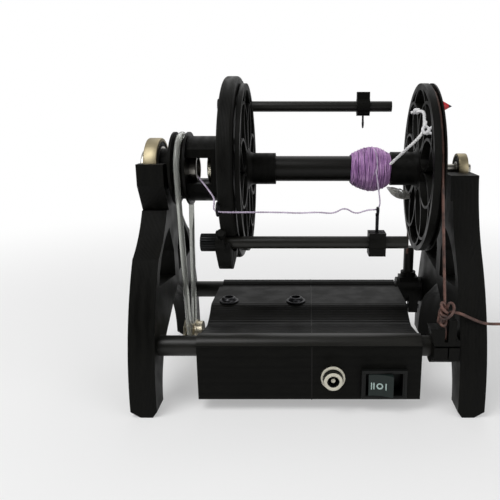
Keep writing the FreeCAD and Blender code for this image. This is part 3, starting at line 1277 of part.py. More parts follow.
def right_flange():
    bore = "(spindle_dia / 2 + bobbin_bore_gap)"
    tube = "(tube_dia / 2 + fit_gap)"
    sleeve = "(right_sleeve_dia / 2)"
    lifted = f"({BOBBIN_RIGHT} + hub_disc_lift)"
    under = f"({lifted} - hub_disc_thickness)"
    disc = "(hub_disc_dia / 2)"
    foot = f"({sleeve} + sleeve_flare)"
    body = turned("right_flange", SPINDLE, [
        (RIGHT_SLEEVE_LEFT, tube), (RIGHT_FLANGE_LEFT, tube), (RIGHT_FLANGE_LEFT, bore), (lifted, bore),
        (lifted, disc), (under, disc), (under, foot), (RIGHT_FLANGE_LEFT, foot, "flare_radius", "in"),
        (f"{RIGHT_FLANGE_LEFT} - sleeve_flare", sleeve), (RIGHT_SLEEVE_LEFT, sleeve),
    ])
    lace(body, RIGHT_FLANGE_LEFT, BOBBIN_RIGHT)
    lip = f"({RIGHT_FLANGE_LEFT} + rim_lip)"
    for start, stop, rim in ((RIGHT_FLANGE_LEFT, lip, "right_rim"), (lip, BOBBIN_RIGHT, "groove_rim")):
        add(body, "X", start, stop, ("0", "0", "flange_dia / 2"), ("0", "0", f"flange_dia / 2 - {rim}"))
    middle = f"({BOBBIN_RIGHT} - groove_inset)"
    cut(body, "X", f"{middle} - groove_half", f"{middle} + groove_half",
        ("0", "0", "flange_dia / 2 + 1"), ("0", "0", "groove_dia / 2"))
    return body


def bobbin_tube():
    return turned("bobbin_tube", SPINDLE,
                  block(LEFT_FLANGE_RIGHT, RIGHT_FLANGE_LEFT, "tube_bore / 2", "tube_dia / 2"))


def yarn_cop():
    stop = f"({RIGHT_SLEEVE_LEFT} - cop_gap)"
    start = f"({stop} - cop_length)"
    bore = "(tube_dia / 2 + fit_gap)"
    return turned("yarn_cop", SPINDLE, [
        (start, bore), (stop, bore), (stop, "cop_end_dia / 2", "cop_bulge", "out"),
        (start, "cop_end_dia / 2"),
    ])


def leader_stop():
    """Pointed stop outside the right flange, on the end of the leader cord."""
    body = turned("leader_stop", None, [
        ("0", "0"), ("stop_length", "0"), ("stop_length", "stop_tip / 2"), ("0", "stop_dia / 2"),
    ])
    return place(body, BOBBIN_RIGHT, "-stop_reach", "spindle_height + stop_rise")


# ---- brake -------------------------------------------------------------------------------------

def brake_clamp():
    """Split clamp on the front crossbar; turning it on the bar tightens the brake cord."""
    body = new_body("brake_clamp")
    place(body, "0", "-bar_reach", "bar_height")
    front = "-clamp_lug_front"
    back = "-clamp_lug_back"
    slot = f"({CLAMP_LEFT} + lug_slot_place)"
    slot_end = f"({slot} + lug_slot)"
    add(body, "X", CLAMP_LEFT, CLAMP_RIGHT, ("0", "0", "clamp_ring_dia / 2"))
    add(body, "X", CLAMP_LEFT, CLAMP_RIGHT, block(front, "0", "-jaw_drop", "slit_rise + jaw_rise"))
    add(body, "Y", front, back, [
        (CLAMP_LEFT, "slit_rise"), (slot_end, "slit_rise"), (slot_end, "left_lug_rise"),
        (f"{CLAMP_LEFT} - lug_overhang", "left_lug_rise"),
    ])
    add(body, "Y", front, back,
        block(slot, f"{CLAMP_RIGHT} - right_lug_inset", "slit_rise", "right_lug_rise"))
    cut(body, "X", f"{CLAMP_LEFT} - 1", f"{CLAMP_RIGHT} + 1", ("0", "0", BAR_BORE))
    cut(body, "X", f"{CLAMP_LEFT} - 1", f"{CLAMP_RIGHT} + 1",
        block(f"{front} - 1", "-bar_dia / 4", "slit_rise - jaw_slit", "slit_rise"))
    cut(body, "Y", f"{front} - 1", f"{back} + 1",
        block(slot, slot_end, "slit_rise + slot_floor", "right_lug_rise + 1"))
    split = f"({CLAMP_LEFT} + jaw_split_place)"
    cut(body, "Y", f"{front} - 1", f"{front} + jaw_split_depth",
        block(f"{split} - jaw_split / 2", f"{split} + jaw_split / 2", "-jaw_drop - 1", "slit_rise"))
    return body


REAR_POST = f"({REAR_LEFT} + anchor_place)"
PINCH_REACH = "(clamp_ring_dia / 4 + rear_jaw_inset / 2)"
PINCH_DROP = "(rear_lug_foot - pinch_rise)"


def rear_clamp():
    """Clamp on the rear crossbar that carries the post."""
    body = new_body("rear_clamp")
    place(body, "0", "bar_reach", "bar_height")
    half = "(collar_dia / 2 + collar_margin)"
    add(body, "X", REAR_LEFT, REAR_RIGHT, ("0", "0", "clamp_ring_dia / 2"))
    add(body, "X", f"{REAR_POST} - {half}", f"{REAR_POST} + {half}",
        block("-collar_dia / 2", "collar_dia / 2", "0", "rear_lug_top - collar_rise"))
    add(body, "Z", "rear_lug_top - collar_rise", "rear_lug_top", (REAR_POST, "0", "collar_dia / 2"))
    for start in (REAR_LEFT, f"({REAR_LEFT} + rear_jaw + rear_jaw_gap)"):
        add(body, "X", start, f"{start} + rear_jaw",
            block("-clamp_ring_dia / 2", "-rear_jaw_inset", "-rear_lug_foot", "0"))
    cut(body, "X", f"{REAR_LEFT} - 1", f"{REAR_RIGHT} + 1", ("0", "0", BAR_BORE))
    cut(body, "Z", "rear_lug_top - anchor_depth", "rear_lug_top + 1",
        (REAR_POST, "0", "anchor_dia / 2 + fit_gap"))
    cut(body, "X", f"{REAR_LEFT} - 1", f"{REAR_RIGHT} + 1",
        (f"-{PINCH_REACH}", f"-{PINCH_DROP}", "clamp_screw_radius + fit_gap"))
    return body


def rear_clamp_screw():
    y = f"bar_reach - {PINCH_REACH}"
    z = f"bar_height - {PINCH_DROP}"
    start = f"{REAR_LEFT} - pinch_head"
    head = round_bar("rear_screw_head", "X", "pinch_head_radius", "pinch_head", start, y, z)
    shank = round_bar("rear_screw_shank", "X", "clamp_screw_radius", "rear_clamp_width", start, y, z)
    return joined("rear_clamp_screw", head, shank)


def anchor_post():
    foot = "(bar_height + rear_lug_top - anchor_depth + fit_gap)"
    return round_bar("anchor_post", "Z", "anchor_dia / 2", f"anchor_top - {foot}",
                     REAR_POST, "bar_reach", foot)


# ---- cords -------------------------------------------------------------------------------------

def pipe(label, edges, radius):
    """A round tube along a smooth wire."""
    wire = Part.Wire(Part.__sortEdges__(edges))
    start = wire.Edges[0]
    tangent = start.tangentAt(start.FirstParameter)
    point = start.valueAt(start.FirstParameter)
    circle = Part.Wire(Part.Circle(point, tangent, radius).toShape())
    item = doc.addObject("Part::Feature", label)
    item.Label = label
    item.Shape = wire.makePipeShell([circle], True, False)
    expected = math.pi * radius ** 2 * wire.Length
    print(f"{label}: length {wire.Length:.1f}, volume {item.Shape.Volume:.1f} for {expected:.1f}")
    return item


def cord_route(points):
    """Straight runs joined by tangent arcs, each arc as large as its two runs allow."""
    corners = [Vector(*point) for point in points]
    edges = []
    radii = []
    last = corners[0]
    for before, corner, after in zip(corners, corners[1:], corners[2:]):
        back = (before - corner)
        ahead = (after - corner)
        half_turn = (math.pi - back.getAngle(ahead)) / 2
        trim = 0.45 * min(back.Length, ahead.Length)
        radii.append(trim / math.tan(half_turn))
        first = corner + back.normalize() * trim
        final = corner + ahead.normalize() * trim
        bisector = ((first + final) / 2 - corner).normalize()
        middle = corner + bisector * (radii[-1] / math.cos(half_turn) - radii[-1])
        edges.append(Part.LineSegment(last, first).toShape())
        edges.append(Part.Arc(first, middle, final).toShape())
        last = final
    edges.append(Part.LineSegment(last, corners[-1]).toShape())
    return edges, radii


def cord(label, points, diameter):
    edges, radii = cord_route(points)
    print(label, "radii", [round(radius, 1) for radius in radii])
    return pipe(label, edges, value(diameter) / 2)


def yarn_strand():
    """Yarn from the window through the guide eye and the lower hook to the cop."""
    return cord("yarn_strand", [
        (-56.6, -6.4, 111.15), (-43.4, -47.0, 103.4), (-42.4, -49.0, 99.4), (-36.6, -47.7, 98.5),
        (-5.0, -41.6, 96.7), (29.4, -35.7, 97.0), (35.2, -34.6, 97.5),
        (35.3, -22.0, 105.3), (34.3, -11.95, 112.8),
    ], "yarn_dia")


def brake_route():
    """Ends of the brake cord and the middle of the groove that it lies in."""
    middle = f"{BOBBIN_RIGHT} - groove_inset"
    post = "bar_reach - anchor_dia / 2 - brake_cord_dia / 2 - post_gap"
    end = f"{KNOT_HEIGHT} + brake_knot_dia / 2 + post_gap"
    return (spot(middle, "0", SPINDLE), spot(middle, "-bar_reach - knot_reach", end),
            spot(middle, post, "anchor_top - cord_post_drop"))


def brake_cord():
    """Brake cord from the knot over the right flange's groove to the post behind."""
    centre, knot, post = brake_route()
    radius = value("groove_dia / 2 + groove_gap + brake_cord_dia / 2")

    def leave(point, side):
        """The place on the groove where a straight run to the point leaves it."""
        reach = math.hypot(point.y - centre.y, point.z - centre.z)
        angle = math.atan2(point.z - centre.z, point.y - centre.y) + side * math.acos(radius / reach)
        return centre + Vector(0, radius * math.cos(angle), radius * math.sin(angle))

    front = leave(knot, -1)
    back = leave(post, 1)
    edges = [Part.LineSegment(knot, front).toShape(),
             Part.Arc(front, centre + Vector(0, 0, radius), back).toShape(),
             Part.LineSegment(back, post).toShape()]
    return pipe("brake_cord", edges, value("brake_cord_dia / 2"))


def brake_cord_knot():
    """Knot on the front end of the brake cord, above the clamp's slot."""
    item = doc.addObject("Part::Sphere", "brake_cord_knot")
    item.Label = "brake_cord_knot"
    item.setExpression("Radius", bind("brake_knot_dia / 2"))
    return place(item, f"{BOBBIN_RIGHT} - groove_inset + knot_shift", "-bar_reach - knot_reach", KNOT_HEIGHT)


def brake_cord_tail():
    """Free end of the brake cord, from the knot past the right frame's leg."""
    return cord("brake_cord_tail", [
        (66.1, -52.9, 52.4), (70.4, -53.4, 52.3), (76.3, -53.2, 49.3), (83.0, -52.5, 46.3),
        (90.0, -52.2, 46.0), (99.0, -53.2, 46.6),
    ], "brake_cord_dia")


def leader_cord():
    """White cord tied to the right flange's lace that first catches the yarn."""
    return cord("leader_cord", [
        (57.0, 16.0, 142.3), (57.0, 2.0, 142.9), (57.0, -17.5, 143.4), (56.8, -20.5, 139.0),
        (56.3, -23.0, 134.2), (53.8, -25.3, 131.0), (48.6, -20.3, 125.0), (42.6, -9.6, 116.8),
    ], "leader_dia")


def leader_tail():
    """Other end of the leader, from under the wound yarn to the back of the flange's lace."""
    return cord("leader_tail", [
        (42.4, -4.6, 103.9), (46.6, 3.4, 100.6), (52.0, 13.0, 97.6), (57.9, 21.4, 95.4), (61.2, 25.0, 94.6),
    ], "leader_dia")


def build():
    """Every sub-part, in the order in which the spinner goes together."""
    return [
        left_frame(), right_frame(), left_cradle(),
        crossbar("front_crossbar", -1), crossbar("rear_crossbar", 1),
        motor_housing(), control_housing(), base_cover(), cover_screws(), motor_clamp_screws(),
        motor_can(), motor_endcap(), motor_screws(), motor_shaft(), motor_pulley(), drive_band(),
        dc_jack_body(), dc_jack_nut(), dc_jack_pin(), switch_case(), switch_rocker(),
        bearing_outer("main_bearing_outer", BEARING_LEFT, "main_bearing_width", "main_bearing_dia",
                      "main_bearing_bore", "race_wall"),
        bearing_inner("main_bearing_inner", BEARING_LEFT, "main_bearing_width", "main_bearing_bore",
                      "race_wall"),
        bearing_outer("tail_bearing_outer", TAIL_LEFT, "tail_bearing_width", "tail_bearing_dia",
                      "(spindle_dia + press_gap)", "tail_race_wall"),
        bearing_inner("tail_bearing_inner", TAIL_LEFT, "tail_bearing_width", "(spindle_dia + press_gap)",
                      "tail_race_wall"),
        hollow_axle(), orifice_tube(), drive_whorl(), flyer_cage(), cage_eyelet(), flyer_plate(), spindle(),
        flyer_rod("upper_rod", 1), flyer_rod("lower_rod", -1), rod_knobs(), rod_set_screws(), yarn_guide(),
        slider("upper_slider", 1, "upper_slider_depth", "upper_slider_top", "slider_ring_dia / 2"),
        slider("lower_slider", -1, "lower_slider_depth", "lower_slider_top", "lower_slider_foot"),
        hook("upper_hook", 1, "slider_ring_dia / 2"), hook("lower_hook", -1, "lower_slider_top"),
        bobbin_tube(), left_flange(), right_flange(), yarn_cop(), leader_stop(),
        brake_clamp(), rear_clamp(), rear_clamp_screw(), anchor_post(),
        yarn_strand(), leader_cord(), leader_tail(), brake_cord(), brake_cord_knot(), brake_cord_tail(),
    ]


def check(items):
    """Stops at any failed feature, empty shape or repeated name."""
    for item in doc.Objects:
        if "Invalid" in item.State or "Error" in item.State:
            raise ValueError(f"{item.Label}: {item.State}")
    labels = [item.Label for item in items]
    if len(set(labels)) != len(labels):
        raise ValueError("two sub-parts share a name")
    for item in items:
        if item.Shape.isNull() or not item.Shape.isValid() or not item.Shape.Solids:
            raise ValueError(f"{item.Label}: no valid solid")


parts = build()
doc.recompute()
check(parts)
os.makedirs("parts", exist_ok=True)
for part in parts:
    part.Shape.exportStep(f"parts/{part.Label}.step")
    box = part.Shape.BoundBox
    ends = [f"{low:.1f}..{high:.1f}" for low, high in
            ((box.XMin, box.XMax), (box.YMin, box.YMax), (box.ZMin, box.ZMax))]
    print(f"{part.Label}: {len(part.Shape.Solids)} solid, {part.Shape.Volume:.0f} mm3, {' '.join(ends)}")
print(len(parts), "sub-parts")
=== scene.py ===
import bpy
import bmesh
import math
from mathutils import Matrix, Vector, noise


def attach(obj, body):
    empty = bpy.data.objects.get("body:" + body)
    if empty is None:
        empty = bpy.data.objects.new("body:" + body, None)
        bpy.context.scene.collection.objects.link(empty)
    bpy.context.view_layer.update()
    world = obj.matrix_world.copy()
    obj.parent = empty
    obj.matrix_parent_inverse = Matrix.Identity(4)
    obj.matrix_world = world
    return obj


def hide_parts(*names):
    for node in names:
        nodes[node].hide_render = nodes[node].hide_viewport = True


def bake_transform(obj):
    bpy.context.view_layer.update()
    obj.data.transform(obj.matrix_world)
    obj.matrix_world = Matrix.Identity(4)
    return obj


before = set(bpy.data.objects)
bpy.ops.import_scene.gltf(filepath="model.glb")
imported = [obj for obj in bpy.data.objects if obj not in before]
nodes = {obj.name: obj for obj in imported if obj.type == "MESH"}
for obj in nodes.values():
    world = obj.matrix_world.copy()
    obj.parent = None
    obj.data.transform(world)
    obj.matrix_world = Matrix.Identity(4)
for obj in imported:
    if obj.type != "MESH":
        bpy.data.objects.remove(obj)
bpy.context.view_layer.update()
print("frame loaded,", len(nodes), "nodes")

mm = 0.001
tiny = 1e-6  # places closer than this are one, in metres
spindleZ = 0.1135  # the line that flyer and bobbin turn on

camera = {"place": (0, -0.305, 0.145), "tiltDown": 14, "lens": 41.18, "shift": -0.1148, "sensor": 36, "near": 0.01}


def addCamera():
    data = bpy.data.cameras.new("camera")
    data.sensor_width = camera["sensor"]
    data.lens = camera["lens"]
    data.shift_x = camera["shift"]
    data.clip_start = camera["near"]
    eye = bpy.data.objects.new("camera", data)
    eye.location = camera["place"]
    eye.rotation_euler = (math.radians(90 - camera["tiltDown"]), 0, 0)
    bpy.context.scene.collection.objects.link(eye)
    bpy.context.scene.camera = eye


addCamera()


def linear(code):  # sRGB hex to linear colour
    parts = [int(code[i:i + 2], 16) / 255 for i in (0, 2, 4)]
    return [p / 12.92 if p <= 0.04045 else ((p + 0.055) / 1.055) ** 2.4 for p in parts] + [1]


def addNode(tree, kind, settings=None, links=None):  # one node with its settings and what feeds it
    node = tree.nodes.new("ShaderNode" + kind)
    for key, value in (settings or {}).items():
        if isinstance(key, int) or key in node.inputs:
            node.inputs[key].default_value = value
        else:
            setattr(node, key, value)
    for key, source in (links or {}).items():
        tree.links.new(source, node.inputs[key])
    return node


def newMaterial(name, settings):  # principled shader with its plain settings, and object coordinates
    material = bpy.data.materials.new(name)
    material.use_nodes = True
    tree = material.node_tree
    shader = tree.nodes["Principled BSDF"]
    for key, value in settings.items():
        shader.inputs[key].default_value = value
    place = addNode(tree, "TexCoord").outputs["Object"]
    return material, tree, shader, place


def bandScale(width):  # wave texture scale for one band every so many metres
    return 2 * math.pi / (20 * width)


def printedPla(name, axis, look):
    # PLA laid down in layers by a nozzle: soft sheen broken by fine parallel lines
    material, tree, shader, place = newMaterial(name, {"Specular IOR Level": look["specular"], "IOR": 1.46})
    wave = addNode(tree, "TexWave", {"bands_direction": axis, "Scale": bandScale(look["layer"]), "Distortion": 0.7,
                                     "Detail": 2.0, "Detail Scale": 0.6}, {"Vector": place})
    slow = addNode(tree, "TexWave", {"bands_direction": axis, "Scale": bandScale(look["layer"] * look["banding"]),
                                     "Distortion": 4.0, "Detail": 3.0, "Detail Scale": 1.5}, {"Vector": place})
    blotch = addNode(tree, "TexNoise", {"Scale": look["blotch"], "Detail": 4.0}, {"Vector": place})
    grit = addNode(tree, "TexNoise", {"Scale": look["grit"], "Detail": 3.0}, {"Vector": place})
    shade = addNode(tree, "MixRGB", {"Color1": linear(look["dark"]), "Color2": linear(look["light"])},
                    {"Fac": blotch.outputs["Fac"]})
    streak = addNode(tree, "MixRGB", {"blend_type": "MULTIPLY", "Fac": look["streak"]},
                     {"Color1": shade.outputs["Color"], "Color2": slow.outputs["Color"]})
    tree.links.new(streak.outputs["Color"], shader.inputs["Base Color"])
    rough = addNode(tree, "MapRange", {"To Min": look["rough"][0], "To Max": look["rough"][1]},
                    {"Value": slow.outputs["Fac"]})
    tree.links.new(rough.outputs["Result"], shader.inputs["Roughness"])
    fine = addNode(tree, "Bump", {"Strength": 0.25, "Distance": 0.06 * mm}, {"Height": grit.outputs["Fac"]})
    lines = addNode(tree, "Bump", {"Strength": look["relief"], "Distance": 0.22 * mm},
                    {"Height": wave.outputs["Fac"], "Normal": fine.outputs["Normal"]})
    tree.links.new(lines.outputs["Normal"], shader.inputs["Normal"])
    return material


# layers are 0.2 mm in the real one, drawn at 0.65 mm so that they show; every few layers catch light a little more
printLook = {"layer": 0.65 * mm, "banding": 7.3, "blotch": 55.0, "grit": 1400.0, "streak": 0.35, "dark": "060605",
             "light": "11110e", "specular": 0.1, "rough": (0.38, 0.52), "relief": 0.45}
printed = {axis: printedPla("printedPlaBlack" + axis, axis, printLook) for axis in "XYZ"}


def pultrudedRod(name, look):
    # glass fibre rod with a black coat: an even satin with faint marks along it
    material, tree, shader, place = newMaterial(name, {"Specular IOR Level": look["specular"], "IOR": 1.5})
    along = addNode(tree, "Mapping", {"Scale": look["stretch"]}, {"Vector": place})
    draw = addNode(tree, "TexNoise", {"Scale": look["draw"], "Detail": 3.0}, {"Vector": along.outputs["Vector"]})
    cloud = addNode(tree, "TexNoise", {"Scale": look["cloud"], "Detail": 3.0}, {"Vector": place})
    shade = addNode(tree, "MixRGB", {"Color1": linear(look["dark"]), "Color2": linear(look["light"])},
                    {"Fac": cloud.outputs["Fac"]})
    tree.links.new(shade.outputs["Color"], shader.inputs["Base Color"])
    rough = addNode(tree, "MapRange", {"To Min": look["rough"][0], "To Max": look["rough"][1]},
                    {"Value": draw.outputs["Fac"]})
    tree.links.new(rough.outputs["Result"], shader.inputs["Roughness"])
    bump = addNode(tree, "Bump", {"Strength": 0.3, "Distance": 0.06 * mm}, {"Height": draw.outputs["Fac"]})
    tree.links.new(bump.outputs["Normal"], shader.inputs["Normal"])
    return material


rodLook = {"dark": "0f0f0d", "light": "1e1d19", "specular": 0.3, "rough": (0.3, 0.46), "stretch": (0.03, 1, 1),
           "draw": 900.0, "cloud": 70.0}
coatedRod = pultrudedRod("coatedGlassFibreBlack", rodLook)
coatedPost = pultrudedRod("coatedGlassFibrePost", {**rodLook, "stretch": (1, 1, 0.03)})
coatedTube = pultrudedRod("coatedGlassFibreTube", {**rodLook, "dark": "0a0a09", "light": "151411", "specular": 0.2})


mouldLook = {"grain": 2200.0, "wear": 160.0, "swing": 0.07, "depth": 0.04 * mm}


def mouldedPlastic(name, colour, rough, grain, specular):
    # injection-moulded nylon or ABS: close, even gloss over a fine mould grain
    material, tree, shader, place = newMaterial(name, {"Base Color": linear(colour), "IOR": 1.5,
                                                       "Specular IOR Level": specular})
    spark = addNode(tree, "TexNoise", {"Scale": mouldLook["grain"], "Detail": 2.0}, {"Vector": place})
    wear = addNode(tree, "TexNoise", {"Scale": mouldLook["wear"], "Detail": 4.0}, {"Vector": place})
    dull = addNode(tree, "MapRange", {"To Min": rough - mouldLook["swing"], "To Max": rough + mouldLook["swing"]},
                   {"Value": wear.outputs["Fac"]})
    tree.links.new(dull.outputs["Result"], shader.inputs["Roughness"])
    bump = addNode(tree, "Bump", {"Strength": grain, "Distance": mouldLook["depth"]},
                   {"Height": spark.outputs["Fac"]})
    tree.links.new(bump.outputs["Normal"], shader.inputs["Normal"])
    return material


blackNylon = mouldedPlastic("mouldedNylonBlack", "0c0d0d", 0.42, 0.2, 0.16)
bezelNylon = mouldedPlastic("mouldedNylonBezel", "101110", 0.4, 0.2, 0.2)
greyAbs = mouldedPlastic("mouldedAbsGreyGreen", "1d2523", 0.34, 0.15, 0.25)
blackRubber = mouldedPlastic("nitrileSealBlack", "0a0a0a", 0.55, 0.5, 0.15)
# lighter plastic for the strip beside the housing seam: a painted highlight
paintedSeamHighlight = mouldedPlastic("printedPlaPaintedHighlight", "1d1c19", 0.42, 0.3, 0.2)
redAbs = mouldedPlastic("mouldedAbsRed", "a8141f", 0.3, 0.15, 0.4)
darkTip = mouldedPlastic("mouldedAbsDarkTip", "1c0a24", 0.35, 0.15, 0.4)
whiteInk = mouldedPlastic("padPrintWhite", "a9bcb7", 0.5, 0.1, 0.2)


metalLook = {"marks": 1600.0, "stain": 220.0, "polished": 0.08, "stained": 0.1}


def metal(name, colour, rough, direction, strength, depth=0.03 * mm):
    # machined metal: tool marks in one direction draw its highlights out
    material, tree, shader, place = newMaterial(name, {"Base Color": linear(colour), "Metallic": 1.0})
    along = addNode(tree, "Mapping", {"Scale": direction}, {"Vector": place})
    marks = addNode(tree, "TexNoise", {"Scale": metalLook["marks"], "Detail": 3.0},
                    {"Vector": along.outputs["Vector"]})
    stain = addNode(tree, "TexNoise", {"Scale": metalLook["stain"], "Detail": 4.0}, {"Vector": place})
    dull = addNode(tree, "MapRange", {"To Min": rough - metalLook["polished"],
                                      "To Max": rough + metalLook["stained"]}, {"Value": stain.outputs["Fac"]})
    tree.links.new(dull.outputs["Result"], shader.inputs["Roughness"])
    bump = addNode(tree, "Bump", {"Strength": strength, "Distance": depth}, {"Height": marks.outputs["Fac"]})
    tree.links.new(bump.outputs["Normal"], shader.inputs["Normal"])
    return material


groundSteel = metal("groundBearingSteel", "a3987c", 0.46, (1, 0.05, 0.05), 0.3)
turnedSteel = metal("turnedStainlessSteel", "aaa79f", 0.3, (1, 0.05, 0.05), 0.4)
zincCan = metal("zincPlatedCan", "b4b6b8", 0.32, (0.05, 1, 1), 0.3)
platedLip = mouldedPlastic("platedAbsSatinNickel", "c6c2b2", 0.3, 0.1, 0.5)
paleBrass = metal("turnedPaleBrass", "d8cfb8", 0.36, (1, 0.05, 0.05), 0.45)
blackOxide = metal("blackOxideSteel", "3a3a3c", 0.36, (1, 1, 1), 0.3)
pressedSteel = metal("pressedBrightSteel", "ddd8c4", 0.24, (0.6, 0.6, 0.6), 1.0, 0.4 * mm)  # hammered sparkle
springWire = metal("blackSpringWire", "2a2a2c", 0.4, (1, 1, 1), 0.3)


beltLook = {"Base Color": linear("c4c6c0"), "IOR": 1.5, "Transmission Weight": 0.72, "Subsurface Weight": 0.15,
            "Subsurface Scale": 2 * mm, "Subsurface Radius": (1.0, 0.95, 0.85), "Roughness": 0.14}


def urethaneBelt():
    # extruded clear polyurethane: milky inside, wet gloss outside
    material, tree, shader, place = newMaterial("extrudedPolyurethaneClear", beltLook)
    haze = addNode(tree, "TexNoise", {"Scale": 500.0, "Detail": 3.0}, {"Vector": place})
    bump = addNode(tree, "Bump", {"Strength": 0.2, "Distance": 0.06 * mm}, {"Height": haze.outputs["Fac"]})
    tree.links.new(bump.outputs["Normal"], shader.inputs["Normal"])
    return material


belt = urethaneBelt()


def fibre(name, colours, look):
    # spun or braided fibre: matte, with lighter edges where loose hairs catch light
    material, tree, shader, place = newMaterial(name, {
        "Roughness": look["rough"], "Specular IOR Level": look["specular"], "Sheen Weight": look["sheen"],
        "Sheen Roughness": 0.4})
    patch = addNode(tree, "TexNoise", {"Scale": look["patch"], "Detail": 3.0}, {"Vector": place})
    ramp = addNode(tree, "ValToRGB", {}, {"Fac": patch.outputs["Fac"]})
    for stop, position, colour in zip(ramp.color_ramp.elements, look["stops"], colours):
        stop.position = position
        stop.color = linear(colour)
    hairs = addNode(tree, "TexNoise", {"Scale": look["hair"], "Detail": 5.0, "Roughness": 0.7}, {"Vector": place})
    fleck = addNode(tree, "MixRGB", {"blend_type": "OVERLAY", "Fac": look["fleck"]},
                    {"Color1": ramp.outputs["Color"], "Color2": hairs.outputs["Fac"]})
    tree.links.new(fleck.outputs["Color"], shader.inputs["Base Color"])
    bump = addNode(tree, "Bump", {"Strength": look["relief"], "Distance": 0.15 * mm},
                   {"Height": hairs.outputs["Fac"]})
    tree.links.new(bump.outputs["Normal"], shader.inputs["Normal"])
    return material


woolLook = {"rough": 0.85, "specular": 0.2, "sheen": 0.35, "patch": 140.0, "hair": 2600.0, "fleck": 0.35,
            "relief": 0.7, "stops": (0.32, 0.68)}
lilacWool = fibre("spunWoolLilac", ("855c90", "b88dc0"), woolLook)
# a lighter copy of the lilac wool for the crossings on top: painted highlight
litWool = fibre("spunWoolPaintedHighlight", ("9a70a2", "caa4cf"), woolLook)
# a darker copy of the same wool for the core under the turns: painted shade
shadedWool = fibre("spunWoolPaintedShade", ("4a3059", "78568a"), woolLook)
paleWool = fibre("spunWoolPaleLilac", ("8f8296", "c9bcd0"), woolLook)
whiteCotton = fibre("twistedCottonWhite", ("d8d8da", "f4f3f2"),
                    {**woolLook, "patch": 90.0, "hair": 2200.0, "fleck": 0.15, "sheen": 0.2, "relief": 0.5})
greyCotton = fibre("looseCottonGrey", ("ceccc4", "f0eee8"), {**woolLook, "fleck": 0.2, "sheen": 0.2})
waxedCord = fibre("waxedCottonBrown", ("2e1c17", "6a4a40"),
                  {**woolLook, "rough": 0.5, "specular": 0.5, "sheen": 0.05, "patch": 260.0, "hair": 1800.0,
                   "fleck": 0.25, "relief": 0.35})
print("materials made,", len(bpy.data.materials))


# one look for each CAD node that stays as it is
nodeLooks = {
    "left_frame": printed["X"], "right_frame": printed["X"], "left_cradle": printed["X"],
    "motor_housing": printed["Z"], "control_housing": printed["Z"], "base_cover": printed["Z"],
    "rear_clamp": printed["X"], "brake_clamp": printed["X"], "hollow_axle": printed["X"],
    "drive_whorl": printed["X"], "flyer_cage": printed["X"], "flyer_plate": printed["X"],
    "rod_set_screws": printed["X"], "left_flange": printed["X"], "right_flange": printed["X"],
    "upper_slider": printed["Y"], "lower_slider": printed["Y"],
    "front_crossbar": coatedRod, "rear_crossbar": coatedRod, "upper_rod": coatedRod, "lower_rod": coatedRod,
    "bobbin_tube": coatedTube, "rod_knobs": coatedRod, "anchor_post": coatedPost,
    "cover_screws": blackOxide, "motor_clamp_screws": blackOxide, "motor_screws": blackOxide,
    "rear_clamp_screw": blackOxide, "motor_can": zincCan, "motor_endcap": blackNylon,
    "motor_shaft": turnedSteel, "motor_pulley": paleBrass, "spindle": turnedSteel, "orifice_tube": turnedSteel,
    "cage_eyelet": pressedSteel, "drive_band": belt, "dc_jack_body": blackNylon, "dc_jack_nut": platedLip,
    "dc_jack_pin": platedLip, "switch_case": bezelNylon, "switch_rocker": greyAbs,
    "main_bearing_outer": groundSteel, "main_bearing_inner": groundSteel, "tail_bearing_outer": groundSteel,
    "tail_bearing_inner": groundSteel, "yarn_guide": springWire, "upper_hook": springWire,
    "lower_hook": springWire, "yarn_cop": shadedWool, "leader_stop": redAbs, "leader_cord": whiteCotton,
    "leader_tail": whiteCotton, "brake_cord": waxedCord, "brake_cord_tail": waxedCord,
    "brake_cord_knot": waxedCord, "yarn_strand": paleWool,
}
for name, look in nodeLooks.items():
    for slot in nodes[name].material_slots:
        slot.material = look
print("nodes dressed,", len(nodeLooks))


def addPiece(name, mesh, look, body, replaced=()):
    piece = bpy.data.objects.new(name, mesh)
    bpy.context.scene.collection.objects.link(piece)
    mesh.materials.clear()
    mesh.materials.append(look)
    if body:
        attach(piece, body)
    if replaced:
        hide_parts(*replaced)
    return piece


def toMesh(bm, name, sharp=38):  # smooth faces, with the edges past an angle left sharp
    for face in bm.faces:
        face.smooth = True
    for edge in bm.edges:
        edge.smooth = len(edge.link_faces) == 2 and edge.calc_face_angle(0) < math.radians(sharp)
    mesh = bpy.data.meshes.new(name)
    bm.to_mesh(mesh)
    bm.free()
    return mesh


routeSteps = 16  # places on a smooth line from one route point to the next


def routeCurve(name, points, closed=False):  # points in mm become a smooth line in metres
    data = bpy.data.curves.new(name, "CURVE")
    data.dimensions = "3D"
    spline = data.splines.new("NURBS")
    spline.points.add(len(points) - 1)
    for point, place in zip(spline.points, points):
        point.co = (*[value * mm for value in place], 1)
    spline.use_cyclic_u = closed
    spline.use_endpoint_u = not closed
    spline.order_u = 3
    spline.resolution_u = routeSteps
    data.resolution_u = routeSteps
    return data


def routeLine(name, points, closed=False):  # the line itself, as places in metres
    data = routeCurve(name, points, closed)
    holder = bpy.data.objects.new(name, data)
    mesh = bpy.data.meshes.new_from_object(holder)
    line = [v.co.copy() for v in mesh.vertices]
    bpy.data.objects.remove(holder)
    bpy.data.curves.remove(data)
    bpy.data.meshes.remove(mesh)
    return line


def evenLine(line, step):  # the same line with places an even step apart
    even = [line[0].copy()]
    left = step
    for a, b in zip(line, line[1:]):
        run = (b - a).length
        while run > left:
            a = a.lerp(b, left / run)
            even.append(a.copy())
            run -= left
            left = step
        left -= run
    if (even[-1] - line[-1]).length > step / 3:
        even.append(line[-1].copy())
    return even


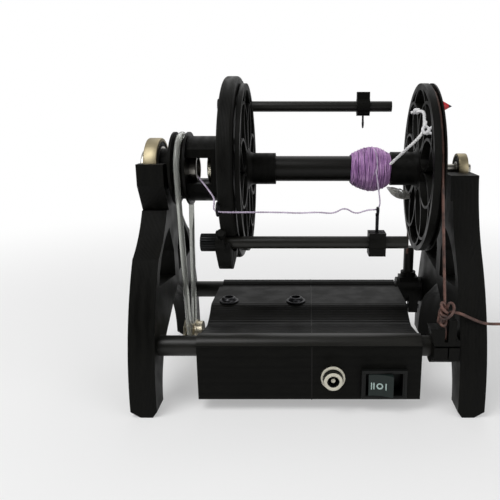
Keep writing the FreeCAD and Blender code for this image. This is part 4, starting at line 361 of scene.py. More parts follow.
def tubeAlong(bm, line, radius, sides=8, closed=False):  # a round strand on places in metres
    data = bpy.data.curves.new("strand", "CURVE")
    data.dimensions = "3D"
    spline = data.splines.new("POLY")
    spline.points.add(len(line) - 1)
    for point, place in zip(spline.points, line):
        point.co = (*place, 1)
    spline.use_cyclic_u = closed
    data.bevel_depth = radius
    data.bevel_resolution = sides // 2 - 2
    data.use_fill_caps = not closed
    holder = bpy.data.objects.new("strand", data)
    mesh = bpy.data.meshes.new_from_object(holder)
    bm.from_mesh(mesh)
    bpy.data.objects.remove(holder)
    bpy.data.curves.remove(data)
    bpy.data.meshes.remove(mesh)


def turning(line):  # a direction across the line at each place, with no sudden turns
    side = (line[1] - line[0]).orthogonal().normalized()
    sides = []
    for i in range(len(line)):
        ahead = (line[min(i + 1, len(line) - 1)] - line[max(i - 1, 0)]).normalized()
        side = (side - ahead * side.dot(ahead)).normalized()
        sides.append((side.copy(), ahead.cross(side)))
    return sides


ripple = {"scale": 900, "apart": 7}  # how quickly a ply's offset changes, and how unlike the plies are


def plied(line, look):  # plies twisted round one line
    bm = bmesh.new()
    even = evenLine(line, look["step"])
    across = turning(even)
    for ply in range(look["plies"]):
        strand = []
        for i, place in enumerate(even):
            angle = 2 * math.pi * (i * look["step"] / look["pitch"] + ply / look["plies"])
            sway = 1 + look["uneven"] * noise.noise(place * ripple["scale"] + Vector((ply * ripple["apart"], 0, 0)))
            side, up = across[i]
            strand.append(place + (side * math.cos(angle) + up * math.sin(angle)) * look["offset"] * sway)
        tubeAlong(bm, strand, look["radius"], look["sides"])
    return toMesh(bm, "plied")


# cords first: route points in mm, on or near the frame's own
yarn = {
    "points": [(-57.2, -6.5, 110.3), (-43.4, -43.4, 105.9), (-42.1, -48.2, 103.6), (-42.8, -49.4, 99.3),
               (-36.6, -47.7, 98.5), (-21.0, -44.6, 98.1), (-11.0, -42.8, 97.6), (-3.0, -41.4, 97.0),
               (5.0, -40.0, 97.3), (12.5, -38.7, 96.2), (17.6, -37.8, 99.3), (22.8, -36.9, 95.6),
               (28.6, -35.9, 97.7), (35.2, -34.6, 97.5), (35.5, -22.0, 105.3), (35.2, -12.1, 112.8)],
    "length": 0.1527, "diameter": 0.8 * mm,
    "twist": {"plies": 2, "radius": 0.26 * mm, "offset": 0.17 * mm, "pitch": 2.3 * mm, "step": 0.3 * mm,
              "sides": 6, "uneven": 0.5},
}


def addYarnStrand():
    line = routeLine("yarnLine", yarn["points"])
    piece = addPiece("yarnStrand", plied(line, yarn["twist"]), paleWool, None, ["yarn_strand"])
    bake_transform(piece)


leader = {
    "points": [(57.0, 16.0, 142.3), (57.0, 2.0, 142.9), (57.0, -17.5, 143.4), (56.8, -20.5, 139.0),
               (56.3, -23.0, 134.2), (53.8, -25.3, 131.0), (48.6, -20.3, 125.0), (42.6, -9.6, 116.8)],
    "length": 0.0721, "diameter": 1.6 * mm,
    "twist": {"plies": 3, "radius": 0.41 * mm, "offset": 0.37 * mm, "pitch": 4.2 * mm, "step": 0.45 * mm,
              "sides": 8, "uneven": 0.25},
    "tailPoints": [(42.4, -4.6, 103.9), (46.6, 3.4, 100.6), (52.0, 13.0, 97.6), (57.9, 21.4, 95.4),
                   (61.2, 25.0, 94.6)],
    "tailLength": 0.0365,
    "knotPoints": [(57.4, -21.0, 138.4), (57.0, -22.4, 136.4), (55.6, -24.0, 135.4), (55.6, -25.2, 133.6),
                   (57.4, -25.4, 132.6), (58.8, -24.2, 133.4), (58.4, -22.8, 135.4), (56.8, -22.6, 136.4),
                   (55.2, -23.6, 134.8), (56.0, -25.4, 132.8), (57.6, -25.6, 133.2), (58.4, -24.6, 134.8),
                   (59.4, -24.4, 135.6), (60.4, -24.4, 135.9)],
    "endPoints": [(56.8, -25.0, 134.0), (58.0, -25.2, 133.2), (59.4, -24.8, 132.9), (60.6, -24.6, 132.7)],
    "wrapPoints": [(56.4, 4.2, 141.9), (55.6, 3.4, 143.2), (56.8, 2.8, 144.2), (58.2, 2.2, 143.2),
                   (57.4, 1.6, 141.9), (55.8, 1.0, 142.6), (56.4, 0.4, 144.2), (58.0, -0.4, 143.8)],
    "knotRadius": 0.7 * mm, "knotSides": 10,
    "wisps": {"count": 58, "radius": 0.2 * mm, "sides": 4, "spread": 3.1 * mm, "step": 1.4 * mm, "turn": 2.4,
              "least": 0.25, "spacing": 0.618, "sway": 0.7, "drift": (0.45, 3.7), "parting": 0.7},
}


def wisps(line, look):  # loose fibres that part in the middle of a line and meet at its ends
    bm = bmesh.new()
    even = evenLine(line, look["step"])
    across = turning(even)
    for i in range(look["count"]):
        angle = look["turn"] * i
        reach = look["spread"] * (look["least"] + (1 - look["least"]) * ((i * look["spacing"]) % 1))
        strand = []
        for k, place in enumerate(even):
            parted = abs(math.sin(math.pi * k / (len(even) - 1))) ** look["parting"]
            sway = look["sway"] * noise.noise(Vector((k * look["drift"][0], i * look["drift"][1], 1.0)))
            side, up = across[k]
            strand.append(place + (side * math.cos(angle + sway) + up * math.sin(angle + sway)) * reach * parted)
        tubeAlong(bm, strand, look["radius"], look["sides"])
    return toMesh(bm, "wisps")


def addLeader():
    line = routeLine("leaderLine", leader["points"])
    cord = addPiece("leaderCord", plied(line, leader["twist"]), whiteCotton, "bobbin", ["leader_cord"])
    bm = bmesh.new()
    for route in ("knotPoints", "endPoints", "wrapPoints"):
        tubeAlong(bm, routeLine(route, leader[route]), leader["knotRadius"], leader["knotSides"])
    knot = addPiece("leaderKnot", toMesh(bm, "leaderKnot"), whiteCotton, "bobbin")
    tailLine = routeLine("leaderTailLine", leader["tailPoints"])
    tail = addPiece("leaderTail", plied(tailLine, leader["twist"]), whiteCotton, "bobbin",
                    ["leader_tail"])
    loose = addPiece("leaderWisps", wisps(tailLine, leader["wisps"]), greyCotton, "bobbin")


brake = {
    "points": [(62.2, 40.95, 56.5), (62.2, 41.22, 100.0), (62.2, 41.35, 121.01), (62.2, 35.8, 135.51),
               (62.2, 25.37, 147.0), (62.2, 11.47, 153.93), (62.2, -3.99, 155.33), (62.2, -18.91, 151.03),
               (62.2, -31.24, 141.6), (62.2, -39.32, 128.34), (62.4, -43.45, 105.0), (64.0, -52.2, 58.0)],
    "length": 0.2468, "diameter": 1.4 * mm, "step": 1.2 * mm, "sides": 10,
    "tailPoints": [(66.1, -52.9, 52.4), (70.4, -53.4, 52.3), (76.3, -53.2, 49.3), (83.0, -52.5, 46.3),
                   (90.0, -52.2, 46.0), (99.0, -53.2, 46.6)],
    "tailLength": 0.0342,
    "knot": {
        "entry": [(64.0, -52.2, 58.0), (64.1, -52.9, 55.6), (64.4, -52.6, 53.0), (65.0, -52.2, 51.6)],
        "leftLoop": [(65.4, -53.0, 51.6), (65.0, -55.0, 52.5), (63.6, -55.5, 53.7), (62.2, -54.8, 55.1),
                     (61.9, -53.8, 56.5), (62.9, -53.2, 57.3), (63.9, -53.6, 56.2), (64.3, -52.6, 54.6)],
        "rightLoop": [(63.2, -54.2, 49.7), (64.6, -55.5, 50.0), (66.2, -55.7, 51.3), (67.6, -55.1, 53.0),
                      (68.2, -54.3, 55.0), (67.4, -53.7, 56.9), (65.9, -53.4, 57.0), (65.2, -53.1, 55.2),
                      (65.1, -52.5, 53.4)],
        "upperWrap": [(64.8, -52.4, 52.2), (62.8, -52.9, 52.7), (61.7, -54.1, 52.5), (62.4, -55.2, 51.7),
                      (64.2, -55.3, 51.0), (65.6, -54.2, 50.6), (65.2, -52.9, 50.6)],
        "lowerWrap": [(64.9, -52.5, 51.0), (62.8, -52.8, 51.1), (61.7, -53.8, 50.8), (62.2, -54.9, 50.1),
                      (63.8, -55.1, 49.5), (65.1, -54.2, 49.9), (65.0, -53.0, 50.1)],
        "lowLoop": [(62.6, -54.4, 50.4), (61.8, -54.7, 48.7), (62.1, -54.9, 46.9), (63.4, -54.7, 46.0),
                    (64.8, -54.5, 46.8), (64.9, -53.9, 48.6), (64.4, -53.2, 49.8)],
        "frontStrand": [(63.6, -54.4, 46.6), (64.9, -54.2, 44.0), (64.95, -53.8, 41.0), (64.95, -53.4, 38.9)],
        "heart": [(63.2, -52.7, 55.4), (65.4, -52.4, 54.4), (63.0, -52.6, 53.2), (66.0, -52.4, 52.4),
                  (63.0, -52.6, 51.6), (65.8, -52.5, 50.8), (63.0, -52.8, 50.0), (63.6, -53.0, 48.2),
                  (62.9, -53.4, 47.2)],
        "packing": [(63.0, -52.5, 54.6), (62.2, -52.5, 53.6), (61.8, -52.4, 52.0), (61.8, -52.5, 49.6),
                    (61.1, -52.9, 47.0), (63.2, -53.3, 46.8), (64.2, -53.3, 48.0), (63.6, -53.2, 49.2)],
        "rearStrand": [(65.0, -52.4, 50.2), (64.95, -52.1, 46.0), (64.95, -51.6, 38.9)],
    },
}


def addBrake():
    line = routeLine("brakeLine", brake["points"])
    bm = bmesh.new()
    tubeAlong(bm, evenLine(line, brake["step"]), brake["diameter"] / 2, brake["sides"])
    cord = addPiece("brakeCord", toMesh(bm, "brakeCord"), waxedCord, None, ["brake_cord"])
    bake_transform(cord)
    bm = bmesh.new()
    for name, points in brake["knot"].items():
        tubeAlong(bm, routeLine(name, points), brake["diameter"] / 2, brake["sides"])
    knot = addPiece("brakeKnot", toMesh(bm, "brakeKnot"), waxedCord, "brake_clamp", ["brake_cord_knot"])
    tailLine = routeLine("brakeTailLine", brake["tailPoints"])
    bm = bmesh.new()
    tubeAlong(bm, tailLine, brake["diameter"] / 2, brake["sides"])
    tail = addPiece("brakeTail", toMesh(bm, "brakeTail"), waxedCord, None, ["brake_cord_tail"])
    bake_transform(tail)


addYarnStrand()
addLeader()
addBrake()
print("cords laid")


def spunShape(outline, steps=64):  # (along X, radius) in mm, turned round the X axis
    bm = bmesh.new()
    ring = [bm.verts.new((x * mm, 0, r * mm)) for x, r in outline]
    edges = [bm.edges.new(pair) for pair in zip(ring, ring[1:] + ring[:1])]
    bmesh.ops.spin(bm, geom=ring + edges, cent=(0, 0, 0), axis=(1, 0, 0), angle=2 * math.pi, steps=steps,
                   use_merge=True)
    bmesh.ops.remove_doubles(bm, verts=bm.verts, dist=tiny)
    bmesh.ops.recalc_face_normals(bm, faces=bm.faces)
    return bm


def settle(bm, at, turn=None):  # turns a shape by (degrees, axis) and puts it at a place in mm
    if turn:
        bmesh.ops.rotate(bm, verts=bm.verts, cent=(0, 0, 0),
                         matrix=Matrix.Rotation(math.radians(turn[0]), 3, turn[1]))
    bmesh.ops.translate(bm, verts=bm.verts, vec=[value * mm for value in at])
    return bm


def gather(shapes):  # several shapes in one
    whole = bmesh.new()
    for shape in shapes:
        mesh = bpy.data.meshes.new("shape")
        shape.to_mesh(mesh)
        shape.free()
        whole.from_mesh(mesh)
        bpy.data.meshes.remove(mesh)
    return whole


toFront = (-90, "Z")  # turns a shape made along X so that it points at whoever stands before the machine
spindleAt = (0, 0, spindleZ / mm)

# wound yarn on the bobbin tube: a core in a darker copy of the wool as painted shade under the turns, wandering turns
# laid over it, and the crossings on top in a lighter copy as a painted highlight
cop = {"left": 22.0, "right": 43.7, "endRadius": 7.4, "middleRadius": 11.8, "tube": 6.6, "steps": 44, "sag": 0.25,
       "margin": 0.5, "firstTurn": 0.7, "under": 1.3, "rings": 16, "coreSteps": 48, "lean": 1.12,
       "fullness": 0.8, "sides": 6, "waver": {"round": 1.3, "along": 0.012, "lift": 1.7},
       "layers": {"yarnCore": {"turns": 22, "wire": 0.5, "drop": 1.1, "wander": 0.5, "lift": 0.2},
                  "yarnTurns": {"turns": 29, "wire": 0.34, "drop": 0.5, "wander": 0.6, "lift": 0.3},
                  "yarnCrossings": {"turns": 9, "wire": 0.31, "drop": 0.22, "wander": 1.6, "lift": 0.3}},
       "overPoints": [(35.2, -12.1, 112.8), (35.6, -12.2, 114.6), (35.7, -11.6, 117.4), (35.6, -10.2, 120.2),
                      (35.2, -8.0, 122.6), (34.6, -5.6, 123.9)],
       "strayPoints": [(35.4, -12.2, 114.6), (34.8, -12.2, 113.4), (34.0, -12.0, 111.4), (33.7, -11.8, 110.6)],
       "overRadius": 0.3, "overSides": 8, "strayRadius": 0.16}


def copRadius(x):  # radius in mm of the winding at a place along the spindle
    t = (x - cop["left"]) / (cop["right"] - cop["left"])
    # fullest a little right of the middle
    swell = math.sin(math.pi * min(max(t, 0), 0.999) ** cop["lean"]) ** cop["fullness"]
    return cop["endRadius"] + (cop["middleRadius"] - cop["endRadius"]) * swell


def windTurns(bm, layer):
    total = layer["turns"] * cop["steps"]
    waver = cop["waver"]
    line = []
    for i in range(total + 1):
        angle = 2 * math.pi * i / cop["steps"]
        around = Vector((math.cos(angle) * waver["round"], math.sin(angle) * waver["round"],
                         i * waver["along"] + layer["turns"]))
        x = cop["left"] + cop["firstTurn"] + (cop["right"] - cop["left"] - 2 * cop["firstTurn"]) * i / total
        x += layer["wander"] * noise.noise(around)
        x = min(max(x, cop["left"] + cop["margin"]), cop["right"] - cop["margin"])
        r = copRadius(x) - layer["drop"] + layer["lift"] * noise.noise(around * waver["lift"])
        line.append(Vector((x * mm, r * mm * math.sin(angle), r * mm * math.cos(angle))))
    tubeAlong(bm, line, layer["wire"] * mm, cop["sides"])


def addCop():
    first, last = cop["left"] + cop["margin"], cop["right"] - cop["margin"]
    places = [first + (last - first) * i / cop["rings"] for i in range(cop["rings"] + 1)]
    outline = [(x, copRadius(x) - cop["under"]) for x in places]
    core = spunShape([(first, cop["tube"])] + outline + [(last, cop["tube"])], cop["coreSteps"])
    # the core and its turns darker as painted shade, the crossings on top lighter as painted highlight
    for (name, layer), look in zip(cop["layers"].items(), (shadedWool, lilacWool, litWool)):
        shape, replaced = (core, ["yarn_cop"]) if name == "yarnCore" else (bmesh.new(), ())
        windTurns(shape, layer)
        settle(shape, (0, 0, spindleZ / mm - cop["sag"]))
        addPiece(name, toMesh(shape, name), look, "bobbin", replaced)
    bm = bmesh.new()
    tubeAlong(bm, routeLine("overLine", cop["overPoints"]), cop["overRadius"] * mm, cop["overSides"])
    tubeAlong(bm, routeLine("strayLine", cop["strayPoints"]), cop["strayRadius"] * mm, cop["sides"])
    addPiece("yarnOver", toMesh(bm, "yarnOver"), paleWool, "bobbin")


addCop()
print("yarn wound")

# bearings: ground rings with a dark seal set back between them
bearingSteps = 96
bearings = {
    "main": {"left": -83.0, "right": -76.0, "outer": 16.0, "outerWall": 1.7, "inner": 11.7, "bore": 10.0,
             "round": 0.7, "inset": 0.45, "gap": 0.12, "stepDrop": 0.3},
    "tail": {"left": 78.5, "right": 83.5, "outer": 8.0, "outerWall": 1.2, "inner": 3.7, "bore": 2.5,
             "round": 0.45, "inset": 0.35, "gap": 0.12, "stepDrop": 0.3},
}


def bearingRing(size, inner, outer, roundOuter):  # a ring with its running side's edges rounded
    left, right, c = size["left"], size["right"], size["round"]
    corner = [(c, 0), (0.3 * c, 0.3 * c), (0, c)]
    if roundOuter:
        top = [(left + a, outer - b) for a, b in reversed(corner)] + [(right - a, outer - b) for a, b in corner]
        return spunShape(top + [(right, inner), (left, inner)], bearingSteps)
    low = [(right - a, inner + b) for a, b in reversed(corner)] + [(left + a, inner + b) for a, b in corner]
    return spunShape([(left, outer), (right, outer)] + low, bearingSteps)


def addBearing(name, size):
    wall = size["outer"] - size["outerWall"]
    outer = bearingRing(size, wall, size["outer"], True)
    inner = bearingRing(size, size["bore"], size["inner"], False)
    left, right, inset = size["left"] + size["inset"], size["right"] - size["inset"], size["inset"]
    step = size["inner"] + 0.3 * (wall - size["inner"])  # the seal steps back a third of the way out
    low, lip = step - size["stepDrop"], size["inner"] + size["gap"]
    seal = spunShape([(left, wall), (right, wall), (right, step), (right - inset, low), (right - inset, lip),
                      (left + inset, lip), (left + inset, low), (left, step)], bearingSteps)
    for part, bm, look, body, slot, replaced in (
            ("OuterRing", outer, groundSteel, "stand", "bearing_steel", [name + "_bearing_outer"]),
            ("InnerRing", inner, turnedSteel, "flyer", "bearing_steel", [name + "_bearing_inner"]),
            ("Seals", seal, blackRubber, "stand", "black_moulded", ())):
        settle(bm, spindleAt)
        addPiece(name + "Bearing" + part, toMesh(bm, part), look, body, replaced)


for name, size in bearings.items():
    addBearing(name, size)

# knurled thumb knobs on the left ends of the flyer rods
knobs = {"left": -51.5, "length": 7.4, "radius": 4.35, "ridges": 20, "corners": 4, "depth": 0.9, "edge": 0.55,
         "sharp": 25, "places": [(-35.0, 81.5), (35.0, 145.5)]}


def knurledKnob():
    bm = bmesh.new()
    bmesh.ops.create_circle(bm, cap_ends=True, segments=knobs["ridges"] * knobs["corners"],
                            radius=knobs["radius"] * mm)
    bm.verts.ensure_lookup_table()
    low = [v for i, v in enumerate(bm.verts) if i % knobs["corners"] == 0]
    bmesh.ops.scale(bm, verts=low, vec=(knobs["depth"], knobs["depth"], 1))
    grown = bmesh.ops.extrude_face_region(bm, geom=bm.faces[:])
    bmesh.ops.translate(bm, verts=[g for g in grown["geom"] if isinstance(g, bmesh.types.BMVert)],
                        vec=(0, 0, knobs["length"] * mm))
    rims = [e for e in bm.edges if abs(e.verts[0].co.z - e.verts[1].co.z) < tiny]
    bmesh.ops.bevel(bm, geom=rims, offset=knobs["edge"] * mm, offset_type="OFFSET", segments=2, profile=0.5,
                    affect="EDGES", material=-1, clamp_overlap=True)
    bmesh.ops.recalc_face_normals(bm, faces=bm.faces)
    return bm


def addKnobs():
    shapes = [settle(knurledKnob(), (knobs["left"], y, z), (90, "Y")) for y, z in knobs["places"]]
    addPiece("knurledKnobs", toMesh(gather(shapes), "knurledKnobs", knobs["sharp"]), blackNylon, "flyer",
             ["rod_knobs"])


addKnobs()

# wire hooks: a doubled wire wound once and a half round its eye, and a thin single one
hookShape = {"neck": 1.6, "footShare": 0.75, "lean": 0.3, "start": -60, "sides": 8}
hooks = {
    "lower": {"x": 33.5, "y": -35.0, "foot": 85.2, "eye": 96.9, "ring": 1.68, "wire": 0.46, "apart": 0.42,
              "turns": 1.5, "steps": 20},
    "upper": {"x": 32.1, "y": 35.0, "foot": 142.0, "eye": 135.3, "ring": 1.76, "wire": 0.36, "apart": 0.24,
              "turns": 1.0, "steps": 20},
}


def addHook(name, size):  # up one leg, round the eye, down the other leg
    way = 1 if size["eye"] > size["foot"] else -1
    foot, lean = hookShape["footShare"] * size["apart"], hookShape["lean"]
    neck = size["eye"] - hookShape["neck"] * way * size["ring"]
    line = [Vector((size["x"] - foot, size["y"], size["foot"]))]
    line.append(Vector((size["x"] - size["apart"], size["y"] - lean, neck)))
    total = round(size["turns"] * size["steps"])
    for i in range(total + 1):
        angle = math.radians(hookShape["start"]) - 2 * math.pi * i / size["steps"]
        shift = size["apart"] * (2 * i / total - 1)
        line.append(Vector((size["x"] + shift, size["y"] + size["ring"] * math.cos(angle) * way,
                            size["eye"] + size["ring"] * math.sin(angle) * way)))
    line.append(Vector((size["x"] + size["apart"], size["y"] + lean, neck)))
    line.append(Vector((size["x"] + foot, size["y"], size["foot"])))
    bm = bmesh.new()
    tubeAlong(bm, [place * mm for place in line], size["wire"] * mm, hookShape["sides"])
    addPiece(name + "WireHook", toMesh(bm, name), springWire, name + "_slider", [name + "_hook"])


for name, size in hooks.items():
    addHook(name, size)
print("bearings, knobs and hooks made")

# red cone at the right flange, with a dark tip
cone = {"at": (63.9, -25.5, 145.5), "base": 2.4, "lip": 0.35, "split": 2.9, "splitRadius": 0.95, "length": 4.6,
        "taper": 0.05, "blunt": (0.2, 0.15), "steps": 32}


def addCone():
    red = spunShape([(0, 0), (0, cone["base"]), (cone["lip"], cone["base"] - cone["taper"]),
                     (cone["split"], cone["splitRadius"]), (cone["split"], 0)], cone["steps"])
    tip = spunShape([(cone["split"], 0), (cone["split"], cone["splitRadius"]),
                     (cone["length"] - cone["blunt"][0], cone["blunt"][1]), (cone["length"], 0)],
                    cone["steps"])
    addPiece("stopCone", toMesh(settle(red, cone["at"]), "stopCone"), redAbs, "bobbin",
             ["leader_stop"])
    addPiece("stopTip", toMesh(settle(tip, cone["at"]), "stopTip"), darkTip, "bobbin")


addCone()

# power jack: ring nut and the bright lip of its barrel
jack = {
    "x": 12.4, "z": 17.8, "wall": -51.0, "barrelFace": -55.2, "nutSteps": 72, "steps": 64,
    "nut": [(0, 4.7), (0, 5.9), (0.8, 5.9), (1.05, 5.75), (1.15, 5.4), (1.15, 5.1), (1.0, 4.8), (0.6, 4.7)],
    "collar": [(0, 4.38), (0, 4.7), (0.5, 4.7), (0.5, 4.55), (4.2, 4.55), (4.2, 4.38)],
    "lip": [(-0.4, 2.95), (0.5, 2.95), (0.72, 3.2), (0.8, 3.65), (0.72, 4.2), (0.5, 4.45), (0, 4.5), (-0.1, 4.36),
            (-0.4, 4.36)],
}


def addJack():
    nut = settle(spunShape(jack["nut"], jack["nutSteps"]), (jack["x"], jack["wall"], jack["z"]), toFront)
    collar = settle(spunShape(jack["collar"], jack["steps"]), (jack["x"], jack["wall"], jack["z"]), toFront)
    lip = settle(spunShape(jack["lip"], jack["steps"]), (jack["x"], jack["barrelFace"], jack["z"]), toFront)
    addPiece("jackNut", toMesh(nut, "jackNut"), platedLip, "stand", ["dc_jack_nut"])
    addPiece("jackCollar", toMesh(collar, "jackCollar"), blackNylon, "stand")
    addPiece("jackLip", toMesh(lip, "jackLip"), platedLip, "stand")


addJack()

# switch: a rounded rim on its bezel, and plain marks on the rocker
switch = {"centre": (37.1, -53.0, 15.0), "outer": (22.0, 15.0), "border": 1.3, "rim": 0.3, "edge": 0.22,
          "bars": [(30.9, -53.26, 0), (32.1, -53.23, 0), (37.8, -54.33, -20)], "bar": (0.55, 0.16, 3.5),
          "ring": (34.9, -53.52, -9), "ringSize": (0.95, 1.6, 0.09), "ringSteps": 40, "markZ": 14.6,
          "markEdge": 0.05}


def bezelRim():
    bm = bmesh.new()
    bmesh.ops.create_grid(bm, x_segments=1, y_segments=1, size=0.5)
    bmesh.ops.scale(bm, verts=bm.verts, vec=(switch["outer"][0] * mm, switch["outer"][1] * mm, 1))
    bmesh.ops.inset_region(bm, faces=bm.faces[:], thickness=switch["border"] * mm, use_boundary=True,
                           use_even_offset=True)
    inside = [f for f in bm.faces if f.calc_center_median().length < 0.1 * mm]
    bmesh.ops.delete(bm, geom=inside, context="FACES")
    grown = bmesh.ops.extrude_face_region(bm, geom=bm.faces[:])
    bmesh.ops.translate(bm, verts=[g for g in grown["geom"] if isinstance(g, bmesh.types.BMVert)],
                        vec=(0, 0, switch["rim"] * mm))
    top = [e for e in bm.edges if all(v.co.z > 0.5 * switch["rim"] * mm for v in e.verts) and
           any(abs(f.normal.z) < 0.5 for f in e.link_faces)]
    bmesh.ops.bevel(bm, geom=top, offset=switch["edge"] * mm, offset_type="OFFSET", segments=3, profile=0.5,
                    affect="EDGES", material=-1, clamp_overlap=True)
    bmesh.ops.recalc_face_normals(bm, faces=bm.faces)
    return settle(bm, switch["centre"], (90, "X"))


def addSwitch():
    addPiece("bezelRim", toMesh(bezelRim(), "bezelRim"), bezelNylon, "stand")
    marks = []
    for x, y, lean in switch["bars"]:
        bm = bmesh.new()
        bmesh.ops.create_cube(bm, size=mm)
        bmesh.ops.scale(bm, verts=bm.verts, vec=switch["bar"])
        bmesh.ops.bevel(bm, geom=bm.edges[:], offset=switch["markEdge"] * mm, offset_type="OFFSET", segments=2,
                        profile=0.5, affect="EDGES", material=-1)
        marks.append(settle(bm, (x, y, switch["markZ"]), (lean, "Z")))
    x, y, lean = switch["ring"]
    inner, outer, rise = switch["ringSize"]
    shape = spunShape([(-rise, inner), (rise, inner), (rise, outer), (-rise, outer)], switch["ringSteps"])
    marks.append(settle(shape, (x, y, switch["markZ"]), (lean - 90, "Z")))
    addPiece("rockerMarks", toMesh(gather(marks), "rockerMarks"), whiteInk, "rocker")


addSwitch()
print("cone, jack and switch made")

# button head screws on the ridge, each on its flange, with a deep socket
ridgeScrews = {"places": [(-44.0, 0), (-6.5, 0)], "top": 39.2, "steps": 60,
               "outline": [(-6.0, 0), (-6.0, 2.5), (0, 2.5), (0, 5.1), (0.3, 5.35), (0.75, 5.3), (0.95, 5.0),
                           (1.0, 4.25), (1.7, 4.05), (2.35, 3.55), (2.72, 2.95), (2.75, 2.6), (2.6, 2.4), (-1.2, 2.3),
                           (-1.2, 0)]}


def addRidgeScrews():
    shapes = [settle(spunShape(ridgeScrews["outline"], ridgeScrews["steps"]), (x, y, ridgeScrews["top"]),
                     (-90, "Y")) for x, y in ridgeScrews["places"]]
    addPiece("ridgeScrews", toMesh(gather(shapes), "ridgeScrews"), blackOxide, "stand",
             ["motor_clamp_screws"])


addRidgeScrews()

# the upper part of the sleeve over the front rod, a thin skin in the glossier rod coat whose lighter colour, laid
# only on the top, is a painted highlight, as (y, z) from its lower edge to its top
sleeveHighlight = {"left": -53.3, "right": 55.1, "skin": 0.15,
           "profile": [(-50.62, 34.1), (-50.95, 34.4), (-50.75, 35.2), (-50.2, 36.1), (-49.4, 36.95), (-48.2, 37.7),
                       (-46.7, 38.15), (-45.0, 38.2), (-43.6, 38.02)]}


def addSleeveHighlight():
    bm = bmesh.new()
    ring = [bm.verts.new((sleeveHighlight["left"] * mm, y * mm, z * mm)) for y, z in sleeveHighlight["profile"]]
    edges = [bm.edges.new(pair) for pair in zip(ring, ring[1:])]
    grown = bmesh.ops.extrude_edge_only(bm, edges=edges)
    bmesh.ops.translate(bm, verts=[g for g in grown["geom"] if isinstance(g, bmesh.types.BMVert)],
                        vec=((sleeveHighlight["right"] - sleeveHighlight["left"]) * mm, 0, 0))
    bmesh.ops.recalc_face_normals(bm, faces=bm.faces)
    bmesh.ops.solidify(bm, geom=bm.faces[:], thickness=sleeveHighlight["skin"] * mm)
    bmesh.ops.recalc_face_normals(bm, faces=bm.faces)
    # lighter colour on the upper part only: painted highlight
    addPiece("sleeveHighlight", toMesh(bm, "sleeveHighlight"), coatedRod, "stand")


addSleeveHighlight()

# the joint between the two housings, a dark hairline all round their section, with a lighter strip beside it that is
# a painted highlight
seam = {"strips": {"seamGap": (1.75, 2.1, blackRubber), "seamPaintedHighlight": (2.1, 2.35, paintedSeamHighlight)}, "proud": 0.08,
        "cut": 1e-7}


def addSeam(name, left, right, look):
    bm = bmesh.new()
    bm.from_mesh(nodes["motor_housing"].data)
    bmesh.ops.remove_doubles(bm, verts=bm.verts, dist=tiny)
    for side, way in ((left, 1), (right, -1)):
        bmesh.ops.bisect_plane(bm, geom=bm.verts[:] + bm.edges[:] + bm.faces[:], dist=seam["cut"],
                               plane_co=(side * mm, 0, 0), plane_no=(way, 0, 0), clear_inner=True)
    bmesh.ops.delete(bm, geom=[f for f in bm.faces if abs(f.normal.x) > 0.9], context="FACES")
    bm.normal_update()
    for vert in bm.verts:
        vert.co += vert.normal * seam["proud"] * mm
    bmesh.ops.solidify(bm, geom=bm.faces[:], thickness=-seam["proud"] * mm)
    bmesh.ops.recalc_face_normals(bm, faces=bm.faces)
    addPiece(name, toMesh(bm, name), look, "stand")


for name, (left, right, look) in seam["strips"].items():
    addSeam(name, left, right, look)
print("seam drawn")


# the stage: pale floor that fades to white, and soft light from above
stage = {"reach": 3.0, "floor": "e9e9e9", "near": 0.10, "far": 0.55, "nearGlow": 0.35}


def addFloor():
    mesh = bpy.data.meshes.new("floor")
    bm = bmesh.new()
    bmesh.ops.create_grid(bm, x_segments=1, y_segments=1, size=stage["reach"])
    bm.to_mesh(mesh)
    bm.free()
    floor = bpy.data.objects.new("floor", mesh)
    bpy.context.scene.collection.objects.link(floor)
    material = bpy.data.materials.new("paperSweepWhite")  # matte paper, bright all over
    material.use_nodes = True
    tree = material.node_tree
    tree.nodes.clear()
    place = addNode(tree, "TexCoord").outputs["Object"]
    reach = addNode(tree, "VectorMath", {"operation": "LENGTH"}, {0: place})
    fade = addNode(tree, "MapRange", {"From Min": stage["near"], "From Max": stage["far"],
                                      "To Min": stage["nearGlow"], "To Max": 1.0,
                                      "interpolation_type": "SMOOTHSTEP"},
                   {"Value": reach.outputs["Value"]})
    rays = addNode(tree, "LightPath")
    seen = addNode(tree, "Math", {"operation": "MAXIMUM"}, {0: rays.outputs["Is Camera Ray"],
                                                            1: rays.outputs["Is Glossy Ray"]})
    seen = addNode(tree, "Math", {"operation": "MAXIMUM"}, {0: seen.outputs[0],
                                                            1: rays.outputs["Is Transmission Ray"]})
    share = addNode(tree, "Math", {"operation": "MULTIPLY"}, {0: seen.outputs[0], 1: fade.outputs["Result"]})
    paper = addNode(tree, "BsdfDiffuse", {"Color": linear(stage["floor"])})
    glow = addNode(tree, "Emission", {"Color": (1, 1, 1, 1), "Strength": 1.0})
    both = addNode(tree, "MixShader", {}, {0: share.outputs[0], 1: paper.outputs[0], 2: glow.outputs[0]})
    addNode(tree, "OutputMaterial", {}, {"Surface": both.outputs[0]})
    mesh.materials.append(material)


addFloor()

world = {"ambient": 0.36, "roomDark": 0.05, "roomLight": 0.55, "turns": (-0.55, 0.5)}


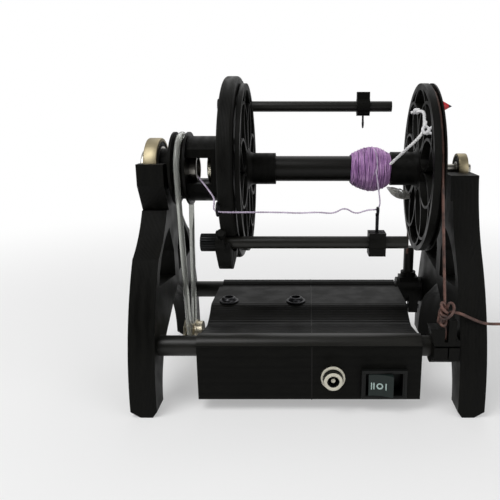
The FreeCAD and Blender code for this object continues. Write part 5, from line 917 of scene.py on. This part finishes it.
def addWorld():
    sky = bpy.data.worlds.new("studio")
    bpy.context.scene.world = sky
    sky.use_nodes = True
    tree = sky.node_tree
    tree.nodes.clear()
    rays = addNode(tree, "LightPath")
    place = addNode(tree, "TexCoord").outputs["Generated"]
    parts = addNode(tree, "SeparateXYZ", {}, {0: place})
    # what shiny surfaces see: the white backdrop behind, a darker room in front
    room = addNode(tree, "MapRange", {"From Min": world["turns"][0], "From Max": world["turns"][1],
                                      "To Min": world["roomDark"], "To Max": world["roomLight"],
                                      "interpolation_type": "SMOOTHSTEP"},
                   {"Value": parts.outputs["Y"]})
    white = addNode(tree, "Background", {"Color": (1, 1, 1, 1), "Strength": 1.0})
    soft = addNode(tree, "Background", {"Color": (1, 1, 1, 1), "Strength": world["ambient"]})
    shiny = addNode(tree, "Background", {"Color": (1, 1, 1, 1)}, {"Strength": room.outputs["Result"]})
    clear = addNode(tree, "Math", {"operation": "MAXIMUM"}, {0: rays.outputs["Is Camera Ray"],
                                                             1: rays.outputs["Is Transmission Ray"]})
    first = addNode(tree, "MixShader", {}, {0: rays.outputs["Is Glossy Ray"], 1: soft.outputs[0],
                                            2: shiny.outputs[0]})
    second = addNode(tree, "MixShader", {}, {0: clear.outputs[0], 1: first.outputs[0], 2: white.outputs[0]})
    addNode(tree, "OutputWorld", {}, {"Surface": second.outputs[0]})


addWorld()

aimedAt = (0, 0, 0.08)
lamps = {
    "key": {"place": (-0.28, -0.30, 0.62), "size": 0.45, "power": 2.8},
    "fill": {"place": (0.45, -0.45, 0.30), "size": 0.5, "power": 1.2},
    "back": {"place": (0.05, 0.45, 0.55), "size": 0.6, "power": 0.9},
}


def addLamps():
    for name, lamp in lamps.items():
        data = bpy.data.lights.new(name, "AREA")
        data.shape = "DISK"
        data.size = lamp["size"]
        data.energy = lamp["power"]
        item = bpy.data.objects.new(name, data)
        item.location = lamp["place"]
        aim = Vector(aimedAt) - item.location
        item.rotation_euler = aim.to_track_quat("-Z", "Y").to_euler()
        bpy.context.scene.collection.objects.link(item)


addLamps()
bpy.context.scene.view_settings.view_transform = "Standard"
print("stage lit")
